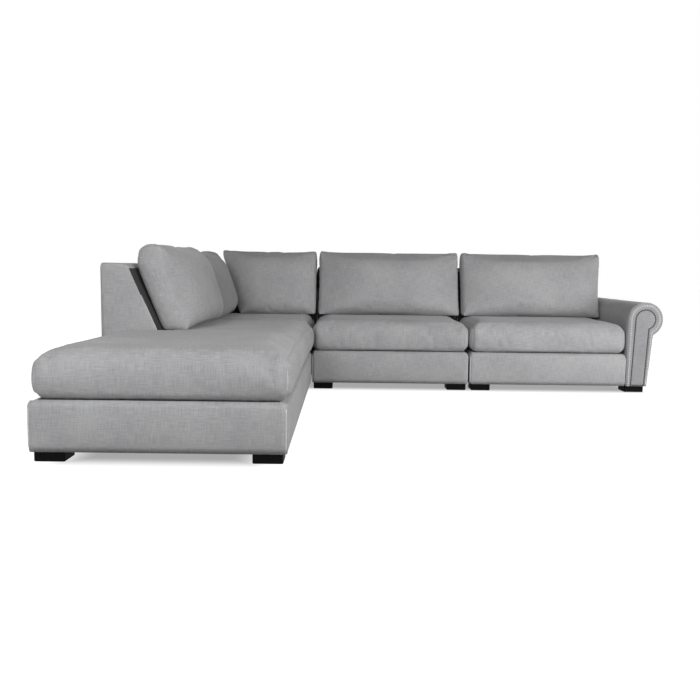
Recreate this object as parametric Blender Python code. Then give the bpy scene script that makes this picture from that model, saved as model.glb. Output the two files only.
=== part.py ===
"""L-shaped sectional sofa: a bumper chaise, a corner, an armless centre and a right end with a rolled arm.

The four units stand a little apart and hook together under their bases. Each has a timber base with
webbing, an upholstered base cover, a dust cover, block feet and a sloping back, and carries loose seat and
back cushions.
Metres, +Z up, +Y to the rear, origin on the floor under the middle of the whole sofa.
"""

import math
from collections import namedtuple

import bmesh
import bpy

# Units in plan
UNIT_WIDTH = 0.990
UNIT_DEPTH = 0.970
UNIT_SPACING = 0.010
CHAISE_LENGTH = 2.010
SIDE_BACK_LENGTH = 1.085

# Heights above the floor
FOOT_HEIGHT = 0.040
DECK_HEIGHT = 0.241
SEAT_EDGE_HEIGHT = 0.420
BACK_HEIGHT = 0.775
CUSHION_TOP_HEIGHT = 0.880

# Gap that two touching pieces keep
SEAM = 0.0003

# Base: cover, timber rails, corner blocks, webbing and dust cover
COVER_THICKNESS = 0.012
COVER_EDGE_RADIUS = 0.030
COVER_CORNER_RADIUS = 0.016
INNER_CORNER_RADIUS = 0.0008
COVER_TUCK = 0.004
RAIL_THICKNESS = 0.022
BLOCK_SIZE = 0.105
BLOCK_HEIGHT = 0.060
CROSS_RAIL_SPACING = 0.320
WEBBING_THICKNESS = 0.003
WEBBING_WIDTH = 0.070
WEBBING_SPACING = 0.270
DUST_COVER_THICKNESS = 0.0015

# Feet, with the stud of the hanger bolt that fixes each one
FOOT_SIZE = 0.120
FOOT_INSET = 0.012
FOOT_CHAMFER = 0.004
STUD_RADIUS = 0.004
STUD_LENGTH = 0.050
STUD_HOLE_CLEARANCE = 0.0006

# Backs: thickness at the top and at the seat, where the slope ends and the lower part is upright
BACK_TOP_THICKNESS = 0.140
BACK_SEAT_THICKNESS = 0.290
BACK_SLOPE_FOOT = 0.440
BACK_EDGE_RADIUS = 0.024
BACK_CORNER_RADIUS = 0.014
BACK_RAIL_HEIGHT = 0.070
BACK_BOARD = 0.022

# Seat cushions
SEAT_EDGE_RADIUS = 0.032
SEAT_CROWN = 0.020
CHAISE_EXTRA_CROWN = 0.012
SEAT_CROWN_RUN = 0.260
SEAT_TUCKED_RUN = 0.080
SEAT_GRID = 0.130
SEAT_SIDE_BULGE = 0.004
SEAT_DRAW_IN = 0.007
SEAT_CLEARANCE = 0.004
CHAISE_CUSHION_OVERHANG = 0.014
CHAISE_CUSHION_SETBACK = 0.010

# Back cushions
BACK_CUSHION_FOOT_THICKNESS = 0.131
BACK_CUSHION_TOP_OFFSET = 0.276
BACK_CUSHION_STAND_OFF = 0.030
BACK_CUSHION_CROWN = 0.094
BACK_CUSHION_EDGE = 0.030
BACK_CUSHION_DRAW_IN = 0.006
BACK_CUSHION_DOME = 0.032
BACK_CUSHION_END_CLEARANCE = 0.003
BACK_CUSHION_SETBACK = 0.090
BACK_CUSHION_GRID = 0.110
BACK_CUSHION_PRESSED_RUN = 0.125
CORNER_LEAN_CLEARANCE = 0.0020

# Rolled arm: roll, neck and foot of the section, measured from the arm's inner face
ARM_ROLL_RADIUS = 0.108
ARM_ROLL_HEIGHT = 0.462
ARM_NECK_WIDTH = 0.158
ARM_FOOT_WIDTH = 0.130
ARM_PROUD = 0.010
ARM_END_RADIUS = 0.012
ARM_BOARD = 0.020
ARM_ROLL_DOWEL_RADIUS = 0.030
ARM_RAIL_WIDTH = 0.060
ARM_RAIL_HEIGHT = 0.045
PANEL_THICKNESS = 0.014
PANEL_EDGE = 0.004
PANEL_GROOVE = 0.003
PANEL_BOSS = 0.003
KEYHOLE_RADIUS = 0.0615
KEYHOLE_FOOT_INNER = 0.030
KEYHOLE_FOOT_OUTER = 0.112
KEYHOLE_NECK = 0.130
KEYHOLE_FOOT_RISE = 0.006
ARM_ARC_STEPS = 14

# Couplers: a fork on one unit takes the down-turned tab of its neighbour's tongue
PLATE = 0.003
PLATE_LENGTH = 0.055
PLATE_WIDTH = 0.060
FORK_REACH = 0.050
FORK_DROP = 0.004
TAB_LENGTH = 0.010
TAB_WIDTH = 0.022
TAB_DEPTH = 0.010
TAB_CLEARANCE = 0.0005

# Share of the edge radius, height then inset, at each ring of a cushion's edge
EDGE_RING_SHARES = ((0.0, 0.55), (0.30, 0.14), (0.85, 0.0))
CORNER_SHARE = 0.29
PRESSED_CROWN_SHARE = 0.40
DOME_POWER = 2.5
FRONT_POWER = 6
CROWN_POWER = 3
RISE_POWER = 2.4
EDGE_STEPS = 3
CORNER_STEPS = 2
ROD_SIDES = 8

SIDES = ("left", "right", "front", "rear")
Unit = namedtuple("Unit", "name left right front rear")
Finish = namedtuple("Finish", "name colour roughness metallic")

LINEN = Finish("grey_linen", (0.330, 0.330, 0.335), 0.92, 0.0)
BLACK_WOOD = Finish("black_wood", (0.012, 0.012, 0.012), 0.45, 0.0)
PINE = Finish("pine", (0.560, 0.390, 0.220), 0.70, 0.0)
WEBBING = Finish("webbing", (0.150, 0.130, 0.110), 0.85, 0.0)
DUST_CLOTH = Finish("dust_cloth", (0.020, 0.020, 0.020), 0.95, 0.0)
NICKELLED_STEEL = Finish("nickelled_steel", (0.550, 0.540, 0.520), 0.38, 1.0)

ARM_REACH = 2 * ARM_ROLL_RADIUS
OVERALL_WIDTH = 3 * UNIT_WIDTH + 2 * UNIT_SPACING + ARM_REACH
OVERALL_LENGTH = CHAISE_LENGTH + UNIT_SPACING + UNIT_DEPTH
LEFT = -OVERALL_WIDTH / 2
REAR = OVERALL_LENGTH / 2
ROW_FRONT = REAR - UNIT_DEPTH
UNIT_PITCH = UNIT_WIDTH + UNIT_SPACING

CHAISE = Unit("chaise", LEFT, LEFT + UNIT_WIDTH, -REAR, -REAR + CHAISE_LENGTH)
CORNER = Unit("corner", LEFT, LEFT + UNIT_WIDTH, ROW_FRONT, REAR)
CENTER = Unit("center", LEFT + UNIT_PITCH, LEFT + UNIT_PITCH + UNIT_WIDTH, ROW_FRONT, REAR)
RIGHT = Unit("right", LEFT + 2 * UNIT_PITCH, LEFT + 2 * UNIT_PITCH + UNIT_WIDTH, ROW_FRONT, REAR)
SIDE_BACK_FRONT = CHAISE.rear - SIDE_BACK_LENGTH
SEAT_HEIGHT = SEAT_EDGE_HEIGHT + SEAT_CROWN
FRAME_INSET = COVER_THICKNESS + SEAM
BACK_FOOT_HEIGHT = DECK_HEIGHT + SEAM
BACK_SLOPE = (BACK_SEAT_THICKNESS - BACK_TOP_THICKNESS) / (BACK_HEIGHT - BACK_SLOPE_FOOT)


def clear_scene():
    """Remove every object that the file holds."""
    for item in list(bpy.data.objects):
        bpy.data.objects.remove(item)


def make_material(finish):
    """Return the Principled material of a finish, made once."""
    known = bpy.data.materials.get(finish.name)
    if known:
        return known
    material = bpy.data.materials.new(finish.name)
    material.use_nodes = True
    shader = material.node_tree.nodes["Principled BSDF"]
    shader.inputs["Base Color"].default_value = (*finish.colour, 1.0)
    shader.inputs["Roughness"].default_value = finish.roughness
    shader.inputs["Metallic"].default_value = finish.metallic
    return material


def add_body(name, points, faces, finish):
    """Add one named object from points and faces, with its faces turned outward and its material."""
    mesh = bpy.data.meshes.new(name)
    mesh.from_pydata(points, [], faces)
    shape = bmesh.new()
    shape.from_mesh(mesh)
    bmesh.ops.recalc_face_normals(shape, faces=shape.faces)
    shape.to_mesh(mesh)
    shape.free()
    mesh.shade_smooth()
    mesh.set_sharp_from_angle(angle=math.radians(38))
    mesh.materials.append(make_material(finish))
    body = bpy.data.objects.new(name, mesh)
    bpy.context.scene.collection.objects.link(body)
    return body


def loft_rings(name, rings, finish):
    """Join rings of equal point counts into one closed body, with a face across the first and the last."""
    count = len(rings[0])
    points = [point for ring in rings for point in ring]
    faces = [tuple(range(count)), tuple(range(len(points) - count, len(points)))]
    for start in range(0, len(points) - count, count):
        for step in range(count):
            following = (step + 1) % count
            faces.append((start + step, start + following, start + count + following, start + count + step))
    return add_body(name, points, faces, finish)


# The six neighbours of a cell, each with the corners of the face between them
CELL_SIDES = (
    ((-1, 0, 0), ((0, 0, 0), (0, 0, 1), (0, 1, 1), (0, 1, 0))),
    ((1, 0, 0), ((1, 0, 0), (1, 1, 0), (1, 1, 1), (1, 0, 1))),
    ((0, -1, 0), ((0, 0, 0), (1, 0, 0), (1, 0, 1), (0, 0, 1))),
    ((0, 1, 0), ((0, 1, 0), (0, 1, 1), (1, 1, 1), (1, 1, 0))),
    ((0, 0, -1), ((0, 0, 0), (0, 1, 0), (1, 1, 0), (1, 0, 0))),
    ((0, 0, 1), ((0, 0, 1), (1, 0, 1), (1, 1, 1), (0, 1, 1))),
)


def cell_body(name, xs, ys, zs, is_solid, finish, place=None):
    """Build the skin of a grid's solid cells as one body; place moves each grid point to its real spot."""
    solid = {
        (i, j, k)
        for i in range(len(xs) - 1)
        for j in range(len(ys) - 1)
        for k in range(len(zs) - 1)
        if is_solid(i, j, k)
    }
    index = {}
    points = []
    faces = []
    for cell in sorted(solid):
        for step, corners in CELL_SIDES:
            if tuple(c + s for c, s in zip(cell, step)) in solid:
                continue
            face = []
            for corner in corners:
                key = tuple(c + s for c, s in zip(cell, corner))
                if key not in index:
                    index[key] = len(points)
                    spot = (xs[key[0]], ys[key[1]], zs[key[2]])
                    points.append(place(*spot) if place else spot)
                face.append(index[key])
            faces.append(tuple(face))
    return add_body(name, points, faces, finish)


def box_outline(unit):
    """Return the corners of a unit's rectangle in plan, anticlockwise."""
    left, right, front, rear = unit[1:]
    return [(left, front), (right, front), (right, rear), (left, rear)]


def heading(start, end):
    """Return the direction, in whole steps of X and Y, from one point to another in line with it."""
    return [(e > s) - (e < s) for s, e in zip(start, end)]


def inset_outline(corners, distance):
    """Move every edge of a square-cornered outline inward by a distance."""
    moved = []
    for number, corner in enumerate(corners):
        into = heading(corners[number - 1], corner)
        out = heading(corner, corners[(number + 1) % len(corners)])
        x, y = corner
        moved.append((x - distance * (into[1] + out[1]), y + distance * (into[0] + out[0])))
    return moved


def round_outline(corners, radius):
    """Turn each square corner of an outline into a short arc."""
    rounded = []
    for number, corner in enumerate(corners):
        before = corners[number - 1]
        after = corners[(number + 1) % len(corners)]
        back = [b - c for b, c in zip(before, corner)]
        ahead = [a - c for a, c in zip(after, corner)]
        back_unit = [part / math.hypot(*back) for part in back]
        ahead_unit = [part / math.hypot(*ahead) for part in ahead]
        for step in range(CORNER_STEPS + 1):
            angle = math.radians(90) * step / CORNER_STEPS
            rounded.append(tuple(
                c + radius * (b * (1 - math.sin(angle)) + a * (1 - math.cos(angle)))
                for c, b, a in zip(corner, back_unit, ahead_unit)
            ))
    return rounded


def plan_ring(corners, inset, radius, height):
    """Return one level ring of a cover: its outline inset, its corners rounded."""
    outline = round_outline(inset_outline(corners, inset), max(radius - inset, INNER_CORNER_RADIUS))
    return [(x, y, height) for x, y in outline]


def edge_arc(radius):
    """Yield the inset and the drop below the top at each step of a rounded edge."""
    for step in range(EDGE_STEPS + 1):
        angle = math.radians(90) * step / EDGE_STEPS
        yield radius * (1 - math.cos(angle)), radius * (1 - math.sin(angle))


def hollow_cover(name, corners_at, foot, top, tuck, edge, corner, heights, finish):
    """Build an upholstered shell that is closed on top and open underneath, like a hood."""
    inner = [
        plan_ring(corners_at(height), COVER_THICKNESS, COVER_THICKNESS + INNER_CORNER_RADIUS, height)
        for height in (top - COVER_THICKNESS, *reversed(heights), foot)
    ]
    outer = [plan_ring(corners_at(foot), tuck, corner, foot)]
    outer += [plan_ring(corners_at(height), 0, corner, height) for height in heights]
    outer += [
        plan_ring(corners_at(top - drop), inset, corner, top - drop)
        for inset, drop in edge_arc(edge)
    ]
    return loft_rings(name, inner + outer, finish)


def even_lines(start, end, spacing):
    """Return evenly spaced values from start to end, no further apart than about the spacing."""
    count = max(1, round((end - start) / spacing))
    return [start + (end - start) * step / count for step in range(count + 1)]


def foot_places(unit):
    """Return the name and the centre of each foot of a unit."""
    reach = FOOT_INSET + FOOT_SIZE / 2
    right = unit.right + (ARM_FOOT_WIDTH if unit is RIGHT else 0)
    sides = (("left", unit.left + reach), ("right", right - reach))
    rows = [("front", unit.front + reach), ("rear", unit.rear - reach)]
    if unit is CHAISE:
        rows.insert(1, ("middle", SIDE_BACK_FRONT - FOOT_SIZE / 2))
    return [(f"{row}_{side}", x, y) for row, y in rows for side, x in sides]


def make_feet(unit):
    """Make a unit's block feet, each one solid with the stud of its hanger bolt.

    A foot under the arm has no stud: screws hold it up to the arm's foot.
    """
    half = FOOT_SIZE / 2
    top = FOOT_HEIGHT - SEAM

    def block_ring(inset, height):
        reach = half - inset
        cut = reach - FOOT_CHAMFER
        corners = ((cut, -reach), (reach, -cut), (reach, cut), (cut, reach))
        mirrored = [(-x, -y) for x, y in corners]
        return [(x, y, height) for x, y in (*corners, *mirrored)]

    def stud_ring(height):
        turn = math.tau / ROD_SIDES
        start = math.atan2(FOOT_CHAMFER - half, half) - turn / 2
        angles = [start + turn * side for side in range(ROD_SIDES)]
        return [(STUD_RADIUS * math.cos(angle), STUD_RADIUS * math.sin(angle), height) for angle in angles]

    for place, x, y in foot_places(unit):
        rings = [
            block_ring(FOOT_CHAMFER / 2, 0),
            block_ring(0, FOOT_CHAMFER / 2),
            block_ring(0, top),
        ]
        if (x, y) in base_foot_places(unit):
            rings += [stud_ring(top), stud_ring(top + STUD_LENGTH)]
        foot = loft_rings(f"{unit.name}_foot_{place}", rings, BLACK_WOOD)
        foot.location = (x, y, 0)


def base_span(unit):
    """Return the rectangle that a unit's timber base fills, inside its cover."""
    return Unit(
        unit.name,
        unit.left + FRAME_INSET,
        unit.right - FRAME_INSET,
        unit.front + FRAME_INSET,
        unit.rear - FRAME_INSET,
    )


def merge_lines(*groups):
    """Sort the lines of several groups into one list without repeats."""
    lines = []
    for value in sorted(value for group in groups for value in group):
        if not lines or value - lines[-1] > SEAM:
            lines.append(value)
    return lines


def inside(value, spans):
    """Tell whether a value lies within one of the spans."""
    return any(low < value < high for low, high in spans)


def middle(lines, number):
    """Return the middle of one interval of a list of lines."""
    return (lines[number] + lines[number + 1]) / 2


def base_foot_places(unit):
    """Return the feet that the seat base itself holds; a foot under the arm is left to the arm's frame."""
    return [(x, y) for _, x, y in foot_places(unit) if x < unit.right]


def make_base_frame(unit):
    """Make a timber base: rails round the edge, rails front to rear, and a block over each foot."""
    span = base_span(unit)
    bottom = FOOT_HEIGHT + DUST_COVER_THICKNESS + SEAM
    top = DECK_HEIGHT - COVER_THICKNESS - WEBBING_THICKNESS - 2 * SEAM
    half_rail = RAIL_THICKNESS / 2
    centres = even_lines(span.left + half_rail, span.right - half_rail, CROSS_RAIL_SPACING)
    rails_across = [(x - half_rail, x + half_rail) for x in centres]
    rails_along = [(span.front, span.front + RAIL_THICKNESS), (span.rear - RAIL_THICKNESS, span.rear)]
    feet = base_foot_places(unit)
    hole = STUD_RADIUS + STUD_HOLE_CLEARANCE
    holes_across = sorted({(x - hole, x + hole) for x, _ in feet})
    holes_along = sorted({(y - hole, y + hole) for _, y in feet})
    half = BLOCK_SIZE / 2
    blocks_across = []
    for x in sorted({x for x, _ in feet}):
        near_left = x - span.left < span.right - x
        blocks_across.append((span.left, x + half) if near_left else (x - half, span.right))
    blocks_along = []
    for y in sorted({y for _, y in feet}):
        low, high = y - half, y + half
        low = span.front if low < span.front + RAIL_THICKNESS else low
        high = span.rear if high > span.rear - RAIL_THICKNESS else high
        blocks_along.append((low, high))
    xs = merge_lines(*rails_across, *holes_across, *blocks_across)
    ys = merge_lines(*rails_along, *holes_along, *blocks_along)
    zs = [bottom, bottom + BLOCK_HEIGHT, top]

    def is_solid(i, j, k):
        x, y = middle(xs, i), middle(ys, j)
        if inside(x, rails_across) or inside(y, rails_along):
            return True
        if k > 0 or not (inside(x, blocks_across) and inside(y, blocks_along)):
            return False
        return not (inside(x, holes_across) and inside(y, holes_along))

    cell_body(f"{unit.name}_base_frame", xs, ys, zs, is_solid, PINE)


def make_webbing(unit):
    """Make the webbing: straps both ways over the rails, woven into one lattice."""
    span = base_span(unit)
    top = DECK_HEIGHT - COVER_THICKNESS - SEAM
    spans = []
    for low, high in ((span.left, span.right), (span.front, span.rear)):
        edge = WEBBING_SPACING / 2
        centres = even_lines(low + edge, high - edge, WEBBING_SPACING)
        spans.append([(c - WEBBING_WIDTH / 2, c + WEBBING_WIDTH / 2) for c in centres])
    straps_across, straps_along = spans
    xs = merge_lines((span.left, span.right), *straps_across)
    ys = merge_lines((span.front, span.rear), *straps_along)

    def is_solid(i, j, _):
        return inside(middle(xs, i), straps_across) or inside(middle(ys, j), straps_along)

    cell_body(f"{unit.name}_seat_webbing", xs, ys, [top - WEBBING_THICKNESS, top], is_solid, WEBBING)


def make_dust_cover(unit):
    """Make the cloth panel under a base, with an opening for each stud."""
    span = base_span(unit)
    hole = STUD_RADIUS + STUD_HOLE_CLEARANCE
    feet = base_foot_places(unit)
    holes_across = sorted({(x - hole, x + hole) for x, _ in feet})
    holes_along = sorted({(y - hole, y + hole) for _, y in feet})
    xs = merge_lines((span.left, span.right), *holes_across)
    ys = merge_lines((span.front, span.rear), *holes_along)

    def is_solid(i, j, _):
        return not (inside(middle(xs, i), holes_across) and inside(middle(ys, j), holes_along))

    zs = [FOOT_HEIGHT, FOOT_HEIGHT + DUST_COVER_THICKNESS]
    cell_body(f"{unit.name}_dust_cover", xs, ys, zs, is_solid, DUST_CLOTH)


def make_base_cover(unit):
    """Make the upholstered base: sides and deck in one padded shell, open underneath."""
    corners = box_outline(unit)
    side_top = DECK_HEIGHT - COVER_EDGE_RADIUS
    heights = (FOOT_HEIGHT + COVER_EDGE_RADIUS / 2, (FOOT_HEIGHT + side_top) / 2)
    hollow_cover(
        f"{unit.name}_base_cover", lambda _: corners, FOOT_HEIGHT, DECK_HEIGHT, COVER_TUCK,
        COVER_EDGE_RADIUS, COVER_CORNER_RADIUS, heights, LINEN,
    )


def back_thickness(height):
    """Return how far a back stands in from the sofa's outer face at a height."""
    above = max(0, height - BACK_SLOPE_FOOT)
    return max(BACK_TOP_THICKNESS, BACK_SEAT_THICKNESS - BACK_SLOPE * above)


def back_outline(unit, height):
    """Return a back's outline in plan at a height: along one side, along the rear, or round the corner."""
    depth = back_thickness(height)
    if unit is CHAISE:
        run = Unit("", unit.left, unit.left + depth, SIDE_BACK_FRONT, unit.rear)
        return box_outline(run)
    if unit is CORNER:
        inner_x = unit.left + depth
        inner_y = unit.rear - depth
        return [
            (unit.left, unit.front), (inner_x, unit.front), (inner_x, inner_y),
            (unit.right, inner_y), (unit.right, unit.rear), (unit.left, unit.rear),
        ]
    return box_outline(Unit("", unit.left, unit.right, unit.rear - depth, unit.rear))


def make_back_cover(unit):
    """Make the upholstered shell of a back, upright to the seat and sloping above it."""
    hollow_cover(
        f"{unit.name}_back_cover", lambda height: back_outline(unit, height), BACK_FOOT_HEIGHT,
        BACK_HEIGHT, 0, BACK_EDGE_RADIUS, BACK_CORNER_RADIUS, (BACK_SLOPE_FOOT,), LINEN,
    )


def make_back_frame(unit):
    """Make the timber inside a back: wedge ribs, with rails between them at the foot and at the top."""
    bottom = BACK_FOOT_HEIGHT
    top = BACK_HEIGHT - COVER_THICKNESS - SEAM
    zs = [bottom, bottom + BACK_RAIL_HEIGHT, BACK_SLOPE_FOOT, top - BACK_RAIL_HEIGHT, top]
    thick = BACK_SEAT_THICKNESS - 2 * FRAME_INSET
    layers = [0, BACK_BOARD, thick - BACK_BOARD, thick]
    last = len(layers) - 2
    rails = (0, len(zs) - 2)

    def narrowed(depth, height):
        room = back_thickness(height) - 2 * FRAME_INSET
        edge = min(depth, BACK_BOARD)
        if depth <= BACK_BOARD:
            return depth
        if depth >= thick - BACK_BOARD:
            return room - (thick - depth)
        return edge + (depth - edge) * room / thick

    if unit is CORNER:
        reach_x = unit.right - unit.left - 2 * FRAME_INSET
        reach_y = unit.rear - unit.front - 2 * FRAME_INSET
        xs = [*layers, reach_x - BACK_BOARD, reach_x]
        ys = [*layers, reach_y - BACK_BOARD, reach_y]

        def is_solid(i, j, k):
            if i > last and j > last:
                return False
            if i > last + 1 or j > last + 1:
                return True
            if i <= last and j <= last:
                posts = i in (0, last) and j in (0, last)
                return posts or (k in rails and not (i == 1 and j == 1))
            depth = j if i > last else i
            return depth in (0, last) and k in rails

        def place(x, y, z):
            x = narrowed(x, z) if x <= thick else x
            y = narrowed(y, z) if y <= thick else y
            return unit.left + FRAME_INSET + x, unit.rear - FRAME_INSET - y, z

        cell_body("corner_back_frame", xs, ys, zs, is_solid, PINE, place)
        return

    along_side = unit is CHAISE
    start, end = (SIDE_BACK_FRONT, unit.rear) if along_side else (unit.left, unit.right)
    start, end = start + FRAME_INSET, end - FRAME_INSET
    centres = even_lines(start + BACK_BOARD / 2, end - BACK_BOARD / 2, CROSS_RAIL_SPACING)
    ribs = [(c - BACK_BOARD / 2, c + BACK_BOARD / 2) for c in centres]
    runs = merge_lines(*ribs)

    def is_solid_run(i, j, k):
        return inside(middle(runs, i), ribs) or (j in (0, last) and k in rails)

    def place_run(along, depth, z):
        depth = narrowed(depth, z) + FRAME_INSET
        if along_side:
            return unit.left + depth, along, z
        return along, unit.rear - depth, z

    cell_body(f"{unit.name}_back_frame", runs, layers, zs, is_solid_run, PINE, place_run)


def fill_lines(marks, spacing):
    """Return the marks with evenly spaced lines added between them where they lie far apart."""
    marks = merge_lines(marks)
    lines = []
    for low, high in zip(marks, marks[1:]):
        lines += even_lines(low, high, spacing)[:-1]
    return [*lines, marks[-1]]


def cushion_levels(low, high, radius):
    """Return heights, each with its inset, that round a seat cushion's lower and upper edges."""
    lower = [(low + share * radius, inset * radius) for share, inset in EDGE_RING_SHARES]
    upper = [(high - share * radius, inset * radius) for share, inset in reversed(EDGE_RING_SHARES)]
    return [*lower, ((low + high) / 2, -SEAT_SIDE_BULGE), *upper]


def rise(distance, run):
    """Return how much of the crown is reached at a distance from an edge, from 0 to 1."""
    return 1 - (1 - min(max(distance, 0) / run, 1)) ** RISE_POWER


def make_seat_cushion(unit, left, right, front, rear, tucked, snug, notch=None):
    """Make a boxed seat cushion: rounded edges, drawn-in sides and a crowned top.

    tucked names the sides where the crown rises at once, under a back cushion or beside another seat.
    snug names the sides that lie flat against a back or an arm, and don't bulge.
    notch is the corner, in X and Y, of the piece left out behind it for a side back. The top swells a
    little more in front of it, where no back cushion stands.
    """
    edge = SEAT_EDGE_RADIUS
    levels = dict(cushion_levels(DECK_HEIGHT + SEAM, SEAT_EDGE_HEIGHT, edge))
    zs = list(levels)
    marks_x = [left, left + edge, right - edge, right]
    marks_y = [front, front + edge, rear - edge, rear]
    if notch:
        marks_x += [notch[0], notch[0] + edge]
        marks_y += [notch[1] - edge, notch[1]]
    xs = fill_lines(marks_x, SEAT_GRID)
    ys = fill_lines(marks_y, SEAT_GRID)
    runs = {side: SEAT_TUCKED_RUN if side in tucked else SEAT_CROWN_RUN for side in SIDES}

    def is_solid(i, j, _):
        return not (notch and middle(xs, i) < notch[0] and middle(ys, j) > notch[1])

    def lift(x, y):
        share = rise(x - left, runs["left"]) * rise(right - x, runs["right"])
        share *= rise(y - front, runs["front"]) * rise(rear - y, runs["rear"])
        if not notch:
            return SEAT_CROWN * share
        away = math.hypot(max(x - notch[0], 0), max(notch[1] - y, 0))
        swell = CHAISE_EXTRA_CROWN * rise(notch[1] - y, SEAT_CROWN_RUN)
        return (SEAT_CROWN + swell) * share * rise(away, SEAT_TUCKED_RUN)

    def place(x, y, z):
        across = 2 * (x - left) / (right - left) - 1
        along = 2 * (y - front) / (rear - front) - 1
        beside_notch = bool(notch) and x == notch[0] and y >= notch[1]
        before_notch = bool(notch) and y == notch[1] and x <= notch[0]
        push_x = (x == left) - (x == right) + beside_notch
        push_y = (y == front) - (y == rear) - before_notch
        side_x = "left" if push_x > 0 else "right"
        side_y = "front" if push_y > 0 else "rear"
        inset_x = inset_y = levels[z]
        if side_x in snug or beside_notch:
            inset_x = max(inset_x, 0)
        else:
            inset_x += SEAT_DRAW_IN * (1 - along ** 2)
        if side_y in snug or before_notch:
            inset_y = max(inset_y, 0)
        else:
            inset_y += SEAT_DRAW_IN * (1 - across ** 2)
        if (push_x and push_y) and not (beside_notch and before_notch):
            inset_x += edge * CORNER_SHARE
            inset_y += edge * CORNER_SHARE
        raised = z + lift(x, y) if z == zs[-1] else z
        return x + push_x * inset_x, y + push_y * inset_y, raised

    cell_body(f"{unit.name}_seat_cushion", xs, ys, zs, is_solid, LINEN, place)


def make_back_cushion(name, length, to_world, lean=False, pressed=0):
    """Make a loose back cushion that leans on a back: flat behind, crowned in front, domed on top.

    It is shaped along its length, away from the back's outer face, and up; to_world turns those three
    into a point.
    lean slants the first end to lie against a cushion that comes out from the side back.
    pressed is the run at the last end that the other cushion presses nearly flat.
    """
    foot = SEAT_HEIGHT + SEAM
    height = CUSHION_TOP_HEIGHT - foot
    thick = BACK_CUSHION_FOOT_THICKNESS
    edge = BACK_CUSHION_EDGE
    sizes = (length, thick, height)
    lines = [fill_lines([0, edge, size / 2, size - edge, size], BACK_CUSHION_GRID) for size in sizes]

    def front_offset(z):
        share = (z - foot) / height
        start = BACK_SEAT_THICKNESS + thick
        return start + share * (BACK_CUSHION_TOP_OFFSET - start)

    def crown_share(along):
        free = length - pressed
        run = 2 * min(along, free) / free - 1
        fall = 1 - PRESSED_CROWN_SHARE if pressed and run > 0 else 1
        return max(0, 1 - fall * abs(run) ** CROWN_POWER)

    def place(along, depth, up):
        core = [min(max(value, edge), size - edge) for value, size in zip((along, depth, up), sizes)]
        away = [value - inner for value, inner in zip((along, depth, up), core)]
        reach = math.hypot(*away)
        along, depth, up = [c + a * edge / max(reach, edge) for c, a in zip(core, away)]
        run = 2 * along / length - 1
        rise_up = 2 * up / height - 1
        front_share = depth / thick
        middle_share = max(0, 1 - abs(rise_up) ** DOME_POWER)
        crown = BACK_CUSHION_CROWN * crown_share(along) * (1 - abs(rise_up) ** FRONT_POWER) * front_share
        along -= BACK_CUSHION_DRAW_IN * run ** CROWN_POWER * middle_share
        dome = BACK_CUSHION_DOME * abs(2 * front_share - 1) ** DOME_POWER * max(0, rise_up) ** CROWN_POWER
        z = foot + up - dome
        behind = back_thickness(z) + SEAM + BACK_CUSHION_STAND_OFF * ((z - foot) / height) ** 2
        offset = behind + front_share * (front_offset(z) - behind) + crown
        if lean:
            start = front_offset(z) + BACK_CUSHION_CROWN * PRESSED_CROWN_SHARE + CORNER_LEAN_CLEARANCE
            along = start + along * (length - start) / length
        return to_world(along, offset, z)

    cell_body(name, *lines, lambda *_: True, LINEN, place)


def make_cushions():
    """Make the four seat cushions and the five back cushions, each clear of its neighbours."""
    inner_left = LEFT + BACK_SEAT_THICKNESS + SEAM
    inner_rear = REAR - BACK_SEAT_THICKNESS - SEAM
    gap = SEAT_CLEARANCE
    make_seat_cushion(
        CHAISE, CHAISE.left + CHAISE_CUSHION_SETBACK, CHAISE.right + CHAISE_CUSHION_OVERHANG,
        CHAISE.front + SEAT_SIDE_BULGE, CHAISE.rear,
        ("rear",), (), (inner_left, SIDE_BACK_FRONT - SEAM),
    )
    make_seat_cushion(CORNER, inner_left, CORNER.right, CORNER.front, inner_rear, SIDES, ("left", "rear"))
    make_seat_cushion(CENTER, CENTER.left, CENTER.right, CENTER.front, inner_rear, ("rear",), ("rear",))
    make_seat_cushion(RIGHT, RIGHT.left, RIGHT.right - gap, RIGHT.front, inner_rear, ("rear",), ("rear",))

    gap = BACK_CUSHION_END_CLEARANCE
    start = SIDE_BACK_FRONT + BACK_CUSHION_SETBACK
    make_back_cushion(
        "chaise_back_cushion", CHAISE.rear - gap - start,
        lambda along, offset, z: (LEFT + offset, start + along, z),
    )
    start_corner = CORNER.front + gap
    make_back_cushion(
        "corner_left_back_cushion", inner_rear - start_corner,
        lambda along, offset, z: (LEFT + offset, start_corner + along, z),
        pressed=BACK_CUSHION_PRESSED_RUN,
    )
    make_back_cushion(
        "corner_rear_back_cushion", UNIT_WIDTH - gap,
        lambda along, offset, z: (LEFT + along, REAR - offset, z),
        lean=True,
    )
    for unit in (CENTER, RIGHT):
        make_back_cushion(
            f"{unit.name}_back_cushion", UNIT_WIDTH - 2 * gap,
            lambda along, offset, z, unit=unit: (unit.left + gap + along, REAR - offset, z),
        )


def keyhole(radius, foot_inner, foot_outer, neck, foot_height, inset=0):
    """Return a rolled arm's section in X and Z: a tapering leg that widens into a round roll.

    Distances run from the arm's inner face, and inset shrinks the whole section evenly.
    """
    radius -= inset
    neck -= inset
    drop = math.sqrt(radius ** 2 - (neck - ARM_ROLL_RADIUS) ** 2)
    start = math.radians(180)
    end = math.atan2(-drop, neck - ARM_ROLL_RADIUS)
    outline = [(foot_inner + inset, foot_height)]
    for step in range(ARM_ARC_STEPS + 1):
        angle = start + (end - start) * step / ARM_ARC_STEPS
        across, up = radius * math.cos(angle), radius * math.sin(angle)
        outline.append((ARM_ROLL_RADIUS + across, ARM_ROLL_HEIGHT + up))
    outline.append((foot_outer - inset, foot_height))
    return outline


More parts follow.
